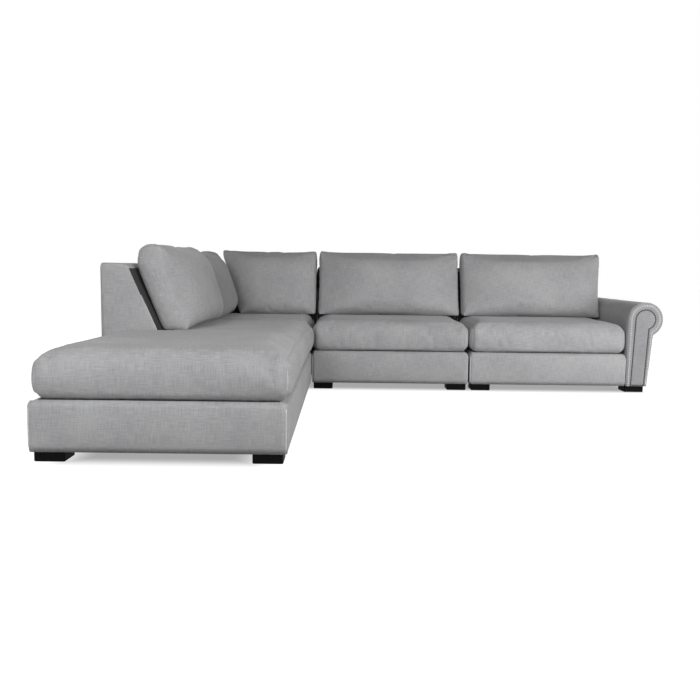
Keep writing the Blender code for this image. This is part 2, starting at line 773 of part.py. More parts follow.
def arm_section(inset=0, foot_height=FOOT_HEIGHT):
    """Return the arm's own section, inset by a distance."""
    return keyhole(ARM_ROLL_RADIUS, 0, ARM_FOOT_WIDTH, ARM_NECK_WIDTH, foot_height, inset)


def panel_section(inset=0):
    """Return the smaller section of the front panel's raised field."""
    foot_height = FOOT_HEIGHT + KEYHOLE_FOOT_RISE + inset
    return keyhole(KEYHOLE_RADIUS, KEYHOLE_FOOT_INNER, KEYHOLE_FOOT_OUTER, KEYHOLE_NECK, foot_height, inset)


def arm_ring(section, y):
    """Set a section of the arm at a depth along the sofa."""
    return [(RIGHT.right + SEAM + x, y, z) for x, z in section]


def make_arm():
    """Make the rolled arm: its padded cover, the timber inside and the panel on its front end."""
    open_end = RIGHT.front - ARM_PROUD + PANEL_THICKNESS + SEAM
    closed_end = REAR
    inner_end = closed_end - COVER_THICKNESS
    lining = arm_section(COVER_THICKNESS, FOOT_HEIGHT + COVER_THICKNESS)
    inner = [arm_ring(lining, y) for y in (inner_end, open_end)]
    outer = [arm_ring(arm_section(), y) for y in (open_end, closed_end - ARM_END_RADIUS)]
    outer += [
        arm_ring(arm_section(inset, FOOT_HEIGHT + inset), closed_end - drop)
        for inset, drop in edge_arc(ARM_END_RADIUS)
        if inset
    ]
    loft_rings("right_arm_cover", inner + outer, LINEN)

    back = open_end - SEAM
    front = back - PANEL_THICKNESS
    rings = [arm_ring(arm_section(), back)]
    rings += [
        arm_ring(arm_section(inset, FOOT_HEIGHT + inset), front + drop)
        for inset, drop in edge_arc(PANEL_EDGE)
    ]
    rings += [
        arm_ring(panel_section(-PANEL_GROOVE / 2), front),
        arm_ring(panel_section(), front + PANEL_GROOVE),
        arm_ring(panel_section(PANEL_GROOVE), front - PANEL_BOSS),
    ]
    loft_rings("right_arm_front_panel", rings, LINEN)
    make_arm_frame(open_end + SEAM, inner_end - SEAM)


def make_arm_frame(front, rear):
    """Make the arm's timber: a board of the arm's section at each end, a roll dowel and rails between."""
    inset = COVER_THICKNESS + 2 * SEAM
    section = arm_section(inset, FOOT_HEIGHT + inset)

    def prism(name, outline, start, end):
        rings = [arm_ring(outline, y) for y in (start, end)]
        return loft_rings(name, rings, PINE)

    def rectangle(left, low):
        right, high = left + ARM_RAIL_WIDTH, low + ARM_RAIL_HEIGHT
        return [(left, low), (right, low), (right, high), (left, high)]

    frame = prism("right_arm_frame", section, front, front + ARM_BOARD)
    dowel = []
    for side in range(ROD_SIDES):
        angle = math.tau * side / ROD_SIDES
        dowel.append((
            ARM_ROLL_RADIUS + ARM_ROLL_DOWEL_RADIUS * math.cos(angle),
            ARM_ROLL_HEIGHT + ARM_ROLL_DOWEL_RADIUS * math.sin(angle),
        ))
    rail_left = (ARM_FOOT_WIDTH - ARM_RAIL_WIDTH) / 2
    start, end = front + ARM_BOARD / 2, rear - ARM_BOARD / 2
    pieces = [
        prism("arm_rear_board", section, rear - ARM_BOARD, rear),
        prism("arm_roll_dowel", dowel, start, end),
        prism("arm_foot_rail", rectangle(rail_left, FOOT_HEIGHT + inset + ARM_BOARD), start, end),
        prism("arm_middle_rail", rectangle(rail_left, (FOOT_HEIGHT + ARM_ROLL_HEIGHT) / 2), start, end),
    ]
    for piece in pieces:
        union = frame.modifiers.new(piece.name, "BOOLEAN")
        union.operation = "UNION"
        union.object = piece
        piece.hide_render = True
        piece.display_type = "WIRE"


def make_coupler(name, seam, y, toward, forked):
    """Make one plate of a coupler under a unit's edge.

    seam is the X or Y line midway between the units, y the plate's place along that edge, and toward the
    direction, in X and Y, from this plate's unit to its neighbour.
    """
    half_gap = UNIT_SPACING / 2
    top = FOOT_HEIGHT - SEAM
    low = top - PLATE - FORK_DROP
    tab_start = half_gap + (FORK_REACH - TAB_LENGTH) / 2
    half_tab = TAB_WIDTH / 2
    slot = half_tab + TAB_CLEARANCE
    half_plate = PLATE_WIDTH / 2
    if forked:
        slot_start = tab_start - TAB_CLEARANCE
        along = [-half_gap - PLATE_LENGTH, -half_gap, PLATE - half_gap, slot_start, half_gap + FORK_REACH]
        across = [-half_plate, -slot, slot, half_plate]
        heights = [low - PLATE, low, top - PLATE, top]

        def is_solid(i, j, k):
            if i == 0:
                return k == 2
            if i == 1:
                return True
            return k == 0 and (i == 2 or j != 1)
    else:
        along = [half_gap, tab_start, tab_start + TAB_LENGTH, half_gap + PLATE_LENGTH]
        across = [-half_plate, -half_tab, half_tab, half_plate]
        heights = [low - TAB_DEPTH, top - PLATE, top]

        def is_solid(i, j, k):
            return k == 1 or (i == 1 and j == 1)

    flip = 1 if forked else -1

    def place(a, b, z):
        a *= flip
        if toward[0]:
            return seam + a * toward[0], y + b, z
        return y + b, seam + a * toward[1], z

    cell_body(name, along, across, heights, is_solid, NICKELLED_STEEL, place)


def make_couplers():
    """Make the three couplers: corner to chaise, corner to centre, and centre to right unit."""
    half_gap = UNIT_SPACING / 2
    row_middle = (ROW_FRONT + REAR) / 2
    chaise_middle = (CHAISE.left + CHAISE.right) / 2
    couplers = (
        ("corner", "chaise", CORNER.front - half_gap, chaise_middle, (0, -1)),
        ("corner", "center", CORNER.right + half_gap, row_middle, (1, 0)),
        ("center", "right", CENTER.right + half_gap, row_middle, (1, 0)),
    )
    for holder, neighbour, seam, place, toward in couplers:
        make_coupler(f"{holder}_fork_to_{neighbour}", seam, place, toward, True)
        back = tuple(-part for part in toward)
        make_coupler(f"{neighbour}_tongue_to_{holder}", seam, place, back, False)


def build():
    """Build the whole sofa, unit by unit."""
    clear_scene()
    for unit in (CHAISE, CORNER, CENTER, RIGHT):
        make_base_frame(unit)
        make_webbing(unit)
        make_dust_cover(unit)
        make_base_cover(unit)
        make_back_cover(unit)
        make_back_frame(unit)
        make_feet(unit)
    make_arm()
    make_cushions()
    make_couplers()


build()
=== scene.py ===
"""Looks of the L-shaped sectional sofa: its upholstery, loose cushions, rolled arm, timber and studio.

Every piece is built in metres in the part's own frame (+Z up, +Y to the rear) and rides on a body of the part.
"""

import logging
import math
from dataclasses import dataclass
from enum import Enum
from functools import lru_cache, partial
from typing import Callable, Optional, Sequence

import bmesh
import bpy
import numpy as np
from mathutils import Matrix, Vector, noise
from mathutils.bvhtree import BVHTree
from mathutils.kdtree import KDTree


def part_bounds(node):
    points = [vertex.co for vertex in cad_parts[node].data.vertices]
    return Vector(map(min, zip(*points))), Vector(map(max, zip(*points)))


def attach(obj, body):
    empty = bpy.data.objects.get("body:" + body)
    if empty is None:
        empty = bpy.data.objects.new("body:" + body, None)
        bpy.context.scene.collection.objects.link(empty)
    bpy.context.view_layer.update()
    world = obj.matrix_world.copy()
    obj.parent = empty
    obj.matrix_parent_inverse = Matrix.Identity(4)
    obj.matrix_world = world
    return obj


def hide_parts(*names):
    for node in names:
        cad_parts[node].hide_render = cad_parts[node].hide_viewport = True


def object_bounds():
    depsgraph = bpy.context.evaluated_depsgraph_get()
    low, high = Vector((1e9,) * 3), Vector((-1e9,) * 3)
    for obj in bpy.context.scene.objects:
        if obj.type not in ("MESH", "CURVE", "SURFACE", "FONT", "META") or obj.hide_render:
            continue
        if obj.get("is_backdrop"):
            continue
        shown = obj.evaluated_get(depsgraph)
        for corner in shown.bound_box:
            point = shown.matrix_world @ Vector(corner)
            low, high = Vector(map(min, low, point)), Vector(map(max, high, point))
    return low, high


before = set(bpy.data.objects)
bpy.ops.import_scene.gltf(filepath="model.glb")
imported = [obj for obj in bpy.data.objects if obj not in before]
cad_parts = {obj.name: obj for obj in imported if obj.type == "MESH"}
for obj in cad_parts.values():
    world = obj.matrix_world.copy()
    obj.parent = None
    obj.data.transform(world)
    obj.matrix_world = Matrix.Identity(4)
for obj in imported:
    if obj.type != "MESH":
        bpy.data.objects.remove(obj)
CAD_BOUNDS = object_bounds()
LOG = logging.getLogger("sofa")

Point = tuple[float, float, float]
Shaper = Callable[[float, float, float], Point]


@lru_cache(maxsize=None)
def part_box(name: str) -> tuple[Vector, Vector]:
    """Return the low and the high corner of a part node's box, measured once."""
    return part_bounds(name)


# Sizes that several pieces share, as the part has them
UNIT_WIDTH = 0.990
LEFT = part_box("chaise_base_cover")[0].x
REAR = part_box("corner_base_cover")[1].y
DECK_HEIGHT = 0.241
SEAT_EDGE_HEIGHT = 0.420
SEAT_CROWN = 0.020
SEAT_HEIGHT = SEAT_EDGE_HEIGHT + SEAT_CROWN
FOOT_HEIGHT = 0.040
BACK_HEIGHT = 0.775
ARM_HEIGHT = 0.575
CUSHION_TOP = 0.880
BACK_TOP_THICKNESS = 0.140
BACK_SEAT_THICKNESS = 0.290
BACK_SLOPE_FOOT = 0.440
BACK_SLOPE = (BACK_SEAT_THICKNESS - BACK_TOP_THICKNESS) / (BACK_HEIGHT - BACK_SLOPE_FOOT)
SIDE_BACK_FRONT = part_box("chaise_back_cover")[0].y
HAIRLINE = 0.0003
WEAVE_MAP = "weave"
MM = 0.001
# A wave texture of scale 1 has a band each pi / 10 metres
BAND_SCALE = math.pi / 10
RING_WANDER = 7.0
# A face looks a way when its normal reaches this far along it
FACING = 0.7
SIDES = ("left", "right", "front", "rear")
CORD_SIDES = 6
SMOOTHING_ROUNDS = 2
SEAM_SINK = 0.3


class Slot(Enum):
    """The record's material slots that pieces of the scene belong to."""

    LINEN = "grey_linen"
    STEEL = "nickelled_steel"


def linear(hex_colour: str) -> tuple[float, float, float, float]:
    """Turn an sRGB hex colour into linear red, green, blue and alpha.

    Args:
        hex_colour: Six hex digits, with or without a leading hash.

    Returns:
        The linear colour with full alpha.
    """
    digits = hex_colour.lstrip("#")
    channels = [int(digits[i:i + 2], 16) / 255 for i in (0, 2, 4)]
    low = [c / 12.92 if c <= 0.04045 else ((c + 0.055) / 1.055) ** 2.4 for c in channels]
    return (*low, 1.0)


def add_node(tree: bpy.types.NodeTree, kind: str, inputs: Optional[dict] = None, **settings) -> bpy.types.Node:
    """Add a node with its settings and links.

    Args:
        tree: The node tree that gets it.
        kind: Blender's name of the node type.
        inputs: Values or sockets by input name or number; a socket is linked.
        settings: Attributes of the node itself.

    Returns:
        The new node.
    """
    node = tree.nodes.new(kind)
    for name, value in settings.items():
        setattr(node, name, value)
    for key, value in (inputs or {}).items():
        if isinstance(value, bpy.types.NodeSocket):
            tree.links.new(value, node.inputs[key])
        else:
            node.inputs[key].default_value = value
    return node


def math_node(tree: bpy.types.NodeTree, operation: str, *values, kind: str = "ShaderNodeMath") -> bpy.types.NodeSocket:
    """Add a math node.

    Args:
        tree: The node tree that gets it.
        operation: Blender's name of the operation.
        values: Numbers or sockets, in the order of the node's inputs.
        kind: Blender's name of the node type, for numbers or for vectors.

    Returns:
        The socket of the result.
    """
    node = add_node(tree, kind, dict(enumerate(values)), operation=operation)
    return node.outputs["Value" if operation == "LENGTH" else 0]


def range_node(tree: bpy.types.NodeTree, value: bpy.types.NodeSocket, low: float, high: float) -> bpy.types.NodeSocket:
    """Return the share, from 0 to 1, of the way from a low to a high value."""
    return add_node(tree, "ShaderNodeMapRange", {"Value": value, "From Min": low, "From Max": high}).outputs["Result"]


def noise_node(
    tree: bpy.types.NodeTree, place: bpy.types.NodeSocket, size: float, detail: float, roughness: float = 0.5,
) -> bpy.types.NodeSocket:
    """Return the strength of a noise texture whose spots have the given size."""
    inputs = {"Vector": place, "Scale": 1 / size, "Detail": detail, "Roughness": roughness}
    return add_node(tree, "ShaderNodeTexNoise", inputs).outputs["Fac"]


@dataclass(frozen=True)
class Surface:
    """What all finishes share: a Principled shader, two mixed colours and a bump."""

    name: str
    ground: str
    accent: str
    roughness: float
    bump_strength: float
    bump_depth: float
    metallic: float = 0.0
    specular: float = 0.5
    sheen: tuple[float, float] = (0.0, 0.5)

    def textures(self, tree: bpy.types.NodeTree) -> tuple[bpy.types.NodeSocket, bpy.types.NodeSocket]:
        """Return the share of the accent colour and the height of the bump."""
        raise NotImplementedError

    def build(self) -> bpy.types.Material:
        """Make the material."""
        material = bpy.data.materials.new(self.name)
        material.use_nodes = True
        tree = material.node_tree
        shader = tree.nodes["Principled BSDF"]
        for socket, value in (
            ("Roughness", self.roughness), ("Metallic", self.metallic), ("Specular IOR Level", self.specular),
            ("Sheen Weight", self.sheen[0]), ("Sheen Roughness", self.sheen[1]),
        ):
            shader.inputs[socket].default_value = value
        share, height = self.textures(tree)
        colours = {0: share, 6: linear(self.ground), 7: linear(self.accent)}
        colour = add_node(tree, "ShaderNodeMix", colours, data_type="RGBA").outputs[2]
        raised = {"Height": height, "Strength": self.bump_strength, "Distance": self.bump_depth}
        bump = add_node(tree, "ShaderNodeBump", raised).outputs["Normal"]
        tree.links.new(colour, shader.inputs["Base Color"])
        tree.links.new(bump, shader.inputs["Normal"])
        return material


@dataclass(frozen=True)
class LinenBlend(Surface):
    """Plain woven linen-blend upholstery cloth: slubby yarns both ways, matt, with a faint bloom.

    The yarn pitch is drawn at 1.5 mm and the slubs at 3 to 4 mm wide, about twice the real ones, so that
    they still show at the render's scale.
    """

    name: str = "woven_linen_blend"
    ground: str = "#8d8d8f"
    accent: str = "#b4b4b5"
    roughness: float = 0.92
    bump_strength: float = 0.45
    bump_depth: float = 0.35 * MM
    specular: float = 0.25
    sheen: tuple[float, float] = (0.18, 0.45)
    yarn_pitch: float = 1.5 * MM
    yarn_wander: float = 0.6
    slub_width: float = 3.2 * MM
    slub_length: float = 55 * MM
    slub_detail: tuple[float, float] = (2.0, 0.65)
    slub_range: tuple[float, float] = (0.72, 1.28)
    slub_height: float = 1.6
    mottle: float = 240 * MM
    mottle_detail: float = 3.0
    mottle_range: tuple[float, float] = (0.3, 0.7)
    mottle_share: float = 0.30

    def textures(self, tree: bpy.types.NodeTree) -> tuple[bpy.types.NodeSocket, bpy.types.NodeSocket]:
        """Return the slubs with broad clouds for the colour, and the slubs with the yarns for the bump."""
        weave = add_node(tree, "ShaderNodeUVMap", uv_map=WEAVE_MAP).outputs["UV"]
        streaks, yarns = [], []
        for across, along, direction in (
            (self.slub_width, self.slub_length, "X"), (self.slub_length, self.slub_width, "Y"),
        ):
            spread = add_node(tree, "ShaderNodeMapping", {"Vector": weave, "Scale": (1 / across, 1 / along, 1)})
            streaks.append(noise_node(tree, spread.outputs["Vector"], 1.0, *self.slub_detail))
            bands = {"Vector": weave, "Scale": BAND_SCALE / self.yarn_pitch, "Distortion": self.yarn_wander}
            wave = add_node(tree, "ShaderNodeTexWave", bands, wave_type="BANDS", bands_direction=direction)
            yarns.append(wave.outputs["Fac"])
        slubs = math_node(tree, "ADD", *streaks)
        clouds = range_node(tree, noise_node(tree, weave, self.mottle, self.mottle_detail), *self.mottle_range)
        shares = {0: self.mottle_share, 2: range_node(tree, slubs, *self.slub_range), 3: clouds}
        blend = add_node(tree, "ShaderNodeMix", shares, data_type="FLOAT").outputs[0]
        return blend, math_node(tree, "MULTIPLY_ADD", slubs, self.slub_height, math_node(tree, "MULTIPLY", *yarns))


@dataclass(frozen=True)
class Grained(Surface):
    """A finish with one grain for colour and bump: timber, utility cloth or plated metal.

    stretch draws the grain out, and is_ringed makes it the wavering growth rings of sawn timber.
    """

    size: float = 1 * MM
    detail: tuple[float, float] = (4.0, 0.5)
    stretch: Point = (1, 1, 1)
    is_ringed: bool = False

    def textures(self, tree: bpy.types.NodeTree) -> tuple[bpy.types.NodeSocket, bpy.types.NodeSocket]:
        """Return the grain twice."""
        place = add_node(tree, "ShaderNodeTexCoord").outputs["Object"]
        if self.is_ringed:
            rings = {
                "Vector": place, "Scale": BAND_SCALE / self.size, "Distortion": RING_WANDER,
                "Detail": self.detail[0], "Detail Scale": self.detail[1],
            }
            saw = {"wave_type": "BANDS", "bands_direction": "Z", "wave_profile": "SAW"}
            grain = add_node(tree, "ShaderNodeTexWave", rings, **saw).outputs["Fac"]
        else:
            along = add_node(tree, "ShaderNodeMapping", {"Vector": place, "Scale": self.stretch}).outputs["Vector"]
            grain = noise_node(tree, along, self.size, *self.detail)
        return grain, grain


def utility_cloth(name: str, ground: str, fibre: str, size: float) -> bpy.types.Material:
    """Make the material of a webbing, a non-woven cloth or the dark cloth of painted shade, from its colours and the
    size of its fibres.
    """
    return Grained(name, ground, fibre, 0.9, 0.3, 0.3 * MM, specular=0.2, size=size, detail=(6.0, 0.7)).build()


def plated_metal(name: str, worn: str, bright: str, patch: float, roughness: float) -> bpy.types.Material:
    """Make the material of a plated metal from its colours and the size of its worn patches."""
    return Grained(name, worn, bright, roughness, 0.15, 0.1 * MM, metallic=1.0, size=patch).build()


class Finishes:
    """Every finish of the sofa, made once."""

    def __init__(self) -> None:
        """Make the materials."""
        self.linen = LinenBlend().build()
        # A lighter copy of the linen for welts: painted highlight where the seam ridges catch the light.
        self.highlight_seam_linen = LinenBlend("linen_blend_seam", "#b6b6b8", "#d6d6d7", slub_length=12 * MM).build()
        # A darker copy of the linen for the arm's front: painted shade.
        self.arm_shade_linen = LinenBlend("linen_blend_arm_front", "#818183", "#a1a1a2").build()
        # A darker copy of the linen for the back cushion deep in the corner: painted shade.
        self.shaded_cushion_linen = LinenBlend("linen_blend_cushion_painted_shade", "#7e7e80", "#a0a0a1").build()
        self.wood = Grained(
            "black_stained_hardwood", "#050505", "#0c0b0b", 0.55, 0.2, 0.2 * MM, specular=0.05,
            size=2.5 * MM, detail=(5.0, 0.5), stretch=(0.08, 1, 1),
        ).build()
        self.pine = Grained(
            "planed_pine", "#d8bb8c", "#a9793f", 0.7, 0.15, 0.3 * MM, size=9 * MM, detail=(3.0, 0.4), is_ringed=True,
        ).build()
        self.webbing = utility_cloth("elastic_webbing", "#4a4038", "#6f6252", 2 * MM)
        self.dust_cloth = utility_cloth("non_woven_dust_cloth", "#161616", "#262626", 1.5 * MM)
        # Dark cloth on the decks and the backs' sloping faces: painted shade in the gaps round the cushions.
        self.shade_lining = utility_cloth("charcoal_painted_shade_cloth", "#2e2e2f", "#434344", 1.5 * MM)
        self.steel = plated_metal("nickel_plated_steel", "#9a9790", "#c9c6c0", 6 * MM, 0.36)
        self.dark_nails = plated_metal("antique_black_nickel_nailheads", "#1c1c1d", "#4a4a4c", 5 * MM, 0.42)
        self.pale_nails = plated_metal("antique_pewter_nailheads", "#a09f9a", "#d9d8d4", 5 * MM, 0.34)

    def dress_frame(self) -> None:
        """Give every part node the finish that its place asks for."""
        signs = {
            "_foot_": self.wood, "_frame": self.pine, "_seat_webbing": self.webbing, "_dust_cover": self.dust_cloth,
            "fork": self.steel, "tongue": self.steel,
        }
        for name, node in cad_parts.items():
            finish = next((kind for sign, kind in signs.items() if sign in name), self.linen)
            for slot in node.material_slots:
                slot.material = finish


def add_piece(name: str, points: Sequence[Point], faces: Sequence[tuple[int, ...]]) -> bpy.types.Object:
    """Add a mesh object with outward faces.

    Args:
        name: The piece's name.
        points: Its corners, in metres.
        faces: Corner numbers of each face.

    Returns:
        The new object.
    """
    mesh = bpy.data.meshes.new(name)
    mesh.from_pydata(points, [], faces)
    shape = bmesh.new()
    shape.from_mesh(mesh)
    bmesh.ops.recalc_face_normals(shape, faces=shape.faces)
    shape.to_mesh(mesh)
    shape.free()
    mesh.shade_smooth()
    piece = bpy.data.objects.new(name, mesh)
    bpy.context.scene.collection.objects.link(piece)
    return piece


def bake_modifiers(piece: bpy.types.Object) -> None:
    """Turn a piece's modifiers into its own mesh."""
    graph = bpy.context.evaluated_depsgraph_get()
    shown = bpy.data.meshes.new_from_object(piece.evaluated_get(graph))
    piece.modifiers.clear()
    old = piece.data
    piece.data = shown
    bpy.data.meshes.remove(old)
    shown.name = piece.name
    shown.shade_smooth()


def read_points(mesh: bpy.types.Mesh) -> np.ndarray:
    """Return a mesh's points as an array of rows."""
    points = np.empty(len(mesh.vertices) * 3)
    mesh.vertices.foreach_get("co", points)
    return points.reshape(-1, 3)


def write_points(mesh: bpy.types.Mesh, points: np.ndarray) -> None:
    """Set a mesh's points from an array of rows."""
    mesh.vertices.foreach_set("co", points.astype(np.float32).ravel())
    mesh.update()


def read_normals(mesh: bpy.types.Mesh) -> np.ndarray:
    """Return the normals at a mesh's points as an array of rows."""
    normals = np.empty(len(mesh.vertices) * 3)
    mesh.vertex_normals.foreach_get("vector", normals)
    return normals.reshape(-1, 3)


def lay_weave(piece: bpy.types.Object, lean: Optional[Matrix] = None) -> None:
    """Lay the cloth's thread directions over a piece, in metres, each panel square to its own face.

    Args:
        piece: The upholstered piece.
        lean: Turns the piece's own upright axes into the part's, for a cushion that leans.
    """
    mesh = piece.data
    layer = mesh.uv_layers.get(WEAVE_MAP) or mesh.uv_layers.new(name=WEAVE_MAP)
    turn = np.array((lean or Matrix.Identity(3)).transposed())
    points = read_points(mesh) @ turn.T
    normals = np.empty(len(mesh.polygons) * 3)
    mesh.polygons.foreach_get("normal", normals)
    normals = np.abs(normals.reshape(-1, 3) @ turn.T)
    main = np.argmax(normals, axis=1)
    counts = np.empty(len(mesh.polygons), dtype=np.int64)
    mesh.polygons.foreach_get("loop_total", counts)
    corners = np.empty(len(mesh.loops), dtype=np.int64)
    mesh.loops.foreach_get("vertex_index", corners)
    facing = np.repeat(main, counts)
    spots = points[corners]
    first = np.where(facing == 0, spots[:, 1], spots[:, 0])
    second = np.where(facing == 2, spots[:, 1], spots[:, 2])
    threads = np.stack([first, second], axis=1) + facing[:, None] * 0.37
    layer.data.foreach_set("uv", threads.astype(np.float32).ravel())


def finish_piece(
    piece: bpy.types.Object, material: bpy.types.Material, body: str, slot: Slot = Slot.LINEN,
    replaced: Sequence[str] = (), lean: Optional[Matrix] = None,
) -> bpy.types.Object:
    """Dress a piece, lay its weave and let it ride on its body.

    Args:
        piece: The finished mesh.
        material: Its finish.
        body: The body that it moves with.
        slot: The record's slot that the finish belongs to; not used.
        replaced: The nodes that it stands for.
        lean: The lean of a leaning cushion, for its weave.

    Returns:
        The same piece.
    """
    piece.data.materials.clear()
    piece.data.materials.append(material)
    lay_weave(piece, lean)
    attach(piece, body)
    if replaced:
        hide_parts(*replaced)
    LOG.info("%s rides on %s: %d faces", piece.name, body, len(piece.data.polygons))
    return piece


def line_faces(piece: bpy.types.Object, shade_lining: bpy.types.Material, gets_painted_shade: Callable[[Vector, Vector], bool]) -> None:
    """Give a second, dark finish to the faces of a piece that the loose cushions cover, as painted shade.

    Args:
        piece: The piece, which has its first finish.
        shade_lining: The finish of the covered faces.
        gets_painted_shade: Tells from a face's middle and its normal whether it is covered.
    """
    piece.data.materials.append(shade_lining)
    for polygon in piece.data.polygons:
        if gets_painted_shade(polygon.center, polygon.normal):
            polygon.material_index = 1


def rounded_marks(low: float, high: float, edge: float, spacing: float, extra: Sequence[float] = ()) -> list[float]:
    """Return grid lines that are close together at rounded edges and evenly spaced between them.

    Args:
        low: Where the grid starts.
        high: Where it ends.
        edge: Radius of the rounded edges.
        spacing: Distance between the lines away from the edges.
        extra: Lines in between that get rounded edges on both sides.

    Returns:
        The lines in rising order.
    """
    near = [edge * (1 - math.tan(math.radians(angle))) for angle in (45, 30, 15, 0)]
    marks = {low + n for n in near} | {high - n for n in near}
    for line in extra:
        marks |= {line + n for n in near} | {line - n for n in near}
    marks = sorted(marks)
    lines = []
    for start, end in zip(marks, marks[1:]):
        count = max(1, round((end - start) / spacing))
        lines += [start + (end - start) * step / count for step in range(count)]
    return [*lines, marks[-1]]


# The six neighbours of a grid cell, each with the corners of the face between them
CELL_SIDES = (
    ((-1, 0, 0), ((0, 0, 0), (0, 0, 1), (0, 1, 1), (0, 1, 0))),
    ((1, 0, 0), ((1, 0, 0), (1, 1, 0), (1, 1, 1), (1, 0, 1))),
    ((0, -1, 0), ((0, 0, 0), (1, 0, 0), (1, 0, 1), (0, 0, 1))),
    ((0, 1, 0), ((0, 1, 0), (0, 1, 1), (1, 1, 1), (1, 1, 0))),
    ((0, 0, -1), ((0, 0, 0), (0, 1, 0), (1, 1, 0), (1, 0, 0))),
    ((0, 0, 1), ((0, 0, 1), (1, 0, 1), (1, 1, 1), (0, 1, 1))),
)


def grid_skin(
    name: str, lines: Sequence[Sequence[float]], is_solid: Callable[[float, float, float], bool], shape: Shaper,
    open_below: bool = False,
) -> bpy.types.Object:
    """Build the skin of a block of grid cells, with every grid point moved to its real place.

    Args:
        name: The piece's name.
        lines: The grid's lines along X, Y and Z.
        is_solid: Tells from the middle of a cell whether it is filled.
        shape: Moves a grid point to its real place.
        open_below: Leaves out the faces at the bottom, as of a hood.

    Returns:
        The new object.
    """
    spans = [range(len(line) - 1) for line in lines]
    solid = {
        (i, j, k) for i in spans[0] for j in spans[1] for k in spans[2]
        if is_solid(*[(line[n] + line[n + 1]) / 2 for line, n in zip(lines, (i, j, k))])
    }
    index: dict[tuple[int, int, int], int] = {}
    points, faces = [], []
    for cell in sorted(solid):
        for step, corners in CELL_SIDES:
            if (cell[0] + step[0], cell[1] + step[1], cell[2] + step[2]) in solid:
                continue
            if open_below and step[2] < 0:
                continue
            face = []
            for corner in corners:
                key = (cell[0] + corner[0], cell[1] + corner[1], cell[2] + corner[2])
                if key not in index:
                    index[key] = len(points)
                    points.append(shape(lines[0][key[0]], lines[1][key[1]], lines[2][key[2]]))
                face.append(index[key])
            faces.append(tuple(face))
    return add_piece(name, points, faces)


@dataclass
class Block:
    """A box, or an L in plan, with rounded edges: the ground form of covers and seat cushions.

    notch is the corner point of the piece left out, and notch_side tells on which side of it, in X and Y.
    """

    low: Point
    high: Point
    edge: float
    notch: Optional[tuple[float, float]] = None
    notch_side: tuple[int, int] = (-1, 1)
    open_below: bool = False

    def lines(self, spacing: float) -> list[list[float]]:
        """Return the grid lines along X, Y and Z."""
        extras = [[], [], []]
        if self.notch:
            extras[0].append(self.notch[0])
            extras[1].append(self.notch[1])
        lines = [
            rounded_marks(low, high, self.edge, spacing, extra)
            for low, high, extra in zip(self.low, self.high, extras)
        ]
        if self.open_below:
            lines[2] = [z for z in lines[2] if z <= self.low[2] or z >= self.low[2] + self.edge]
        return lines

    def is_solid(self, x: float, y: float, _z: float) -> bool:
        """Tell whether a spot is outside the notch."""
        if not self.notch:
            return True
        across = (x - self.notch[0]) * self.notch_side[0]
        along = (y - self.notch[1]) * self.notch_side[1]
        return not (across > 0 and along > 0)

    def outwardness(self, x: float, y: float, z: float) -> list[float]:
        """Return how far a point lies, in X, Y and Z, outside the core that the rounded edges leave."""
        edge = self.edge
        away = []
        for value, low, high in zip((x, y, z), self.low, self.high):
            away.append(max(0.0, value - (high - edge)) - max(0.0, low + edge - value))
        if self.open_below:
            away[2] = max(0.0, away[2])
        if self.notch:
            sx, sy = self.notch_side
            dx = max(0.0, (self.notch[0] - x) * sx)
            dy = max(0.0, (self.notch[1] - y) * sy)
            gap = math.hypot(dx, dy)
            if gap < edge:
                share = (edge - gap) / gap if gap else 0
                beyond = y - self.notch[1]
                away[0] += dx * share * sx if gap else edge * sx * beyond * sy / max(abs(beyond), MM)
                away[1] += dy * share * sy if gap else 0
        return away

    def rounded(self, x: float, y: float, z: float) -> Point:
        """Return the point on the rounded form that a point of the square block moves to."""
        away = self.outwardness(x, y, z)
        reach = math.hypot(*away)
        if reach <= self.edge:
            return x, y, z
        pull = 1 - self.edge / reach
        return x - away[0] * pull, y - away[1] * pull, z - away[2] * pull


def wavy(point: Point, size: float, seed: float) -> float:
    """Return smooth noise from about -1 to 1 for a spot.

    Args:
        point: The spot.
        size: Distance between one wave and the next, in metres.
        seed: Moves the pattern, so that pieces differ.
    """
    return noise.noise(Vector(point) / size + Vector((seed, seed * 1.7, -seed)))


def push_along_normals(piece: bpy.types.Object, amount: Callable[[np.ndarray, np.ndarray], float]) -> None:
    """Move each point of a piece along its normal.

    Args:
        piece: The piece.
        amount: Gives the distance from a point and its normal.
    """
    points, normals = read_points(piece.data), read_normals(piece.data)
    distances = np.array([amount(p, n) for p, n in zip(points, normals)])
    write_points(piece.data, points + normals * distances[:, None])


def tube(name: str, path: Sequence[Point], radius: float, closed: bool = False) -> bpy.types.Object:
    """Build a round cord along a path.

    Args:
        name: The piece's name.
        path: The points that it follows.
        radius: Its radius.
        closed: Joins the end to the start.

    Returns:
        The new object.
    """
    spots = [Vector(p) for p in path]
    count = len(spots)
    points, faces = [], []
    side = None
    for number, spot in enumerate(spots):
        before = spots[number - 1] if number or closed else spot
        after = spots[(number + 1) % count] if number + 1 < count or closed else spot
        run = (after - before).normalized()
        if side is None:
            side = run.orthogonal().normalized()
        side = (side - run * side.dot(run)).normalized()
        up = run.cross(side)
        for step in range(CORD_SIDES):
            turn = math.tau * step / CORD_SIDES
            points.append(tuple(spot + (side * math.cos(turn) + up * math.sin(turn)) * radius))
    for number in range(count if closed else count - 1):
        start, end = number * CORD_SIDES, ((number + 1) % count) * CORD_SIDES
        for step in range(CORD_SIDES):
            following = (step + 1) % CORD_SIDES
            faces.append((start + step, start + following, end + following, end + step))
    if not closed:
        faces.append(tuple(range(CORD_SIDES)))
        faces.append(tuple(range((count - 1) * CORD_SIDES, count * CORD_SIDES)))
    return add_piece(name, points, faces)


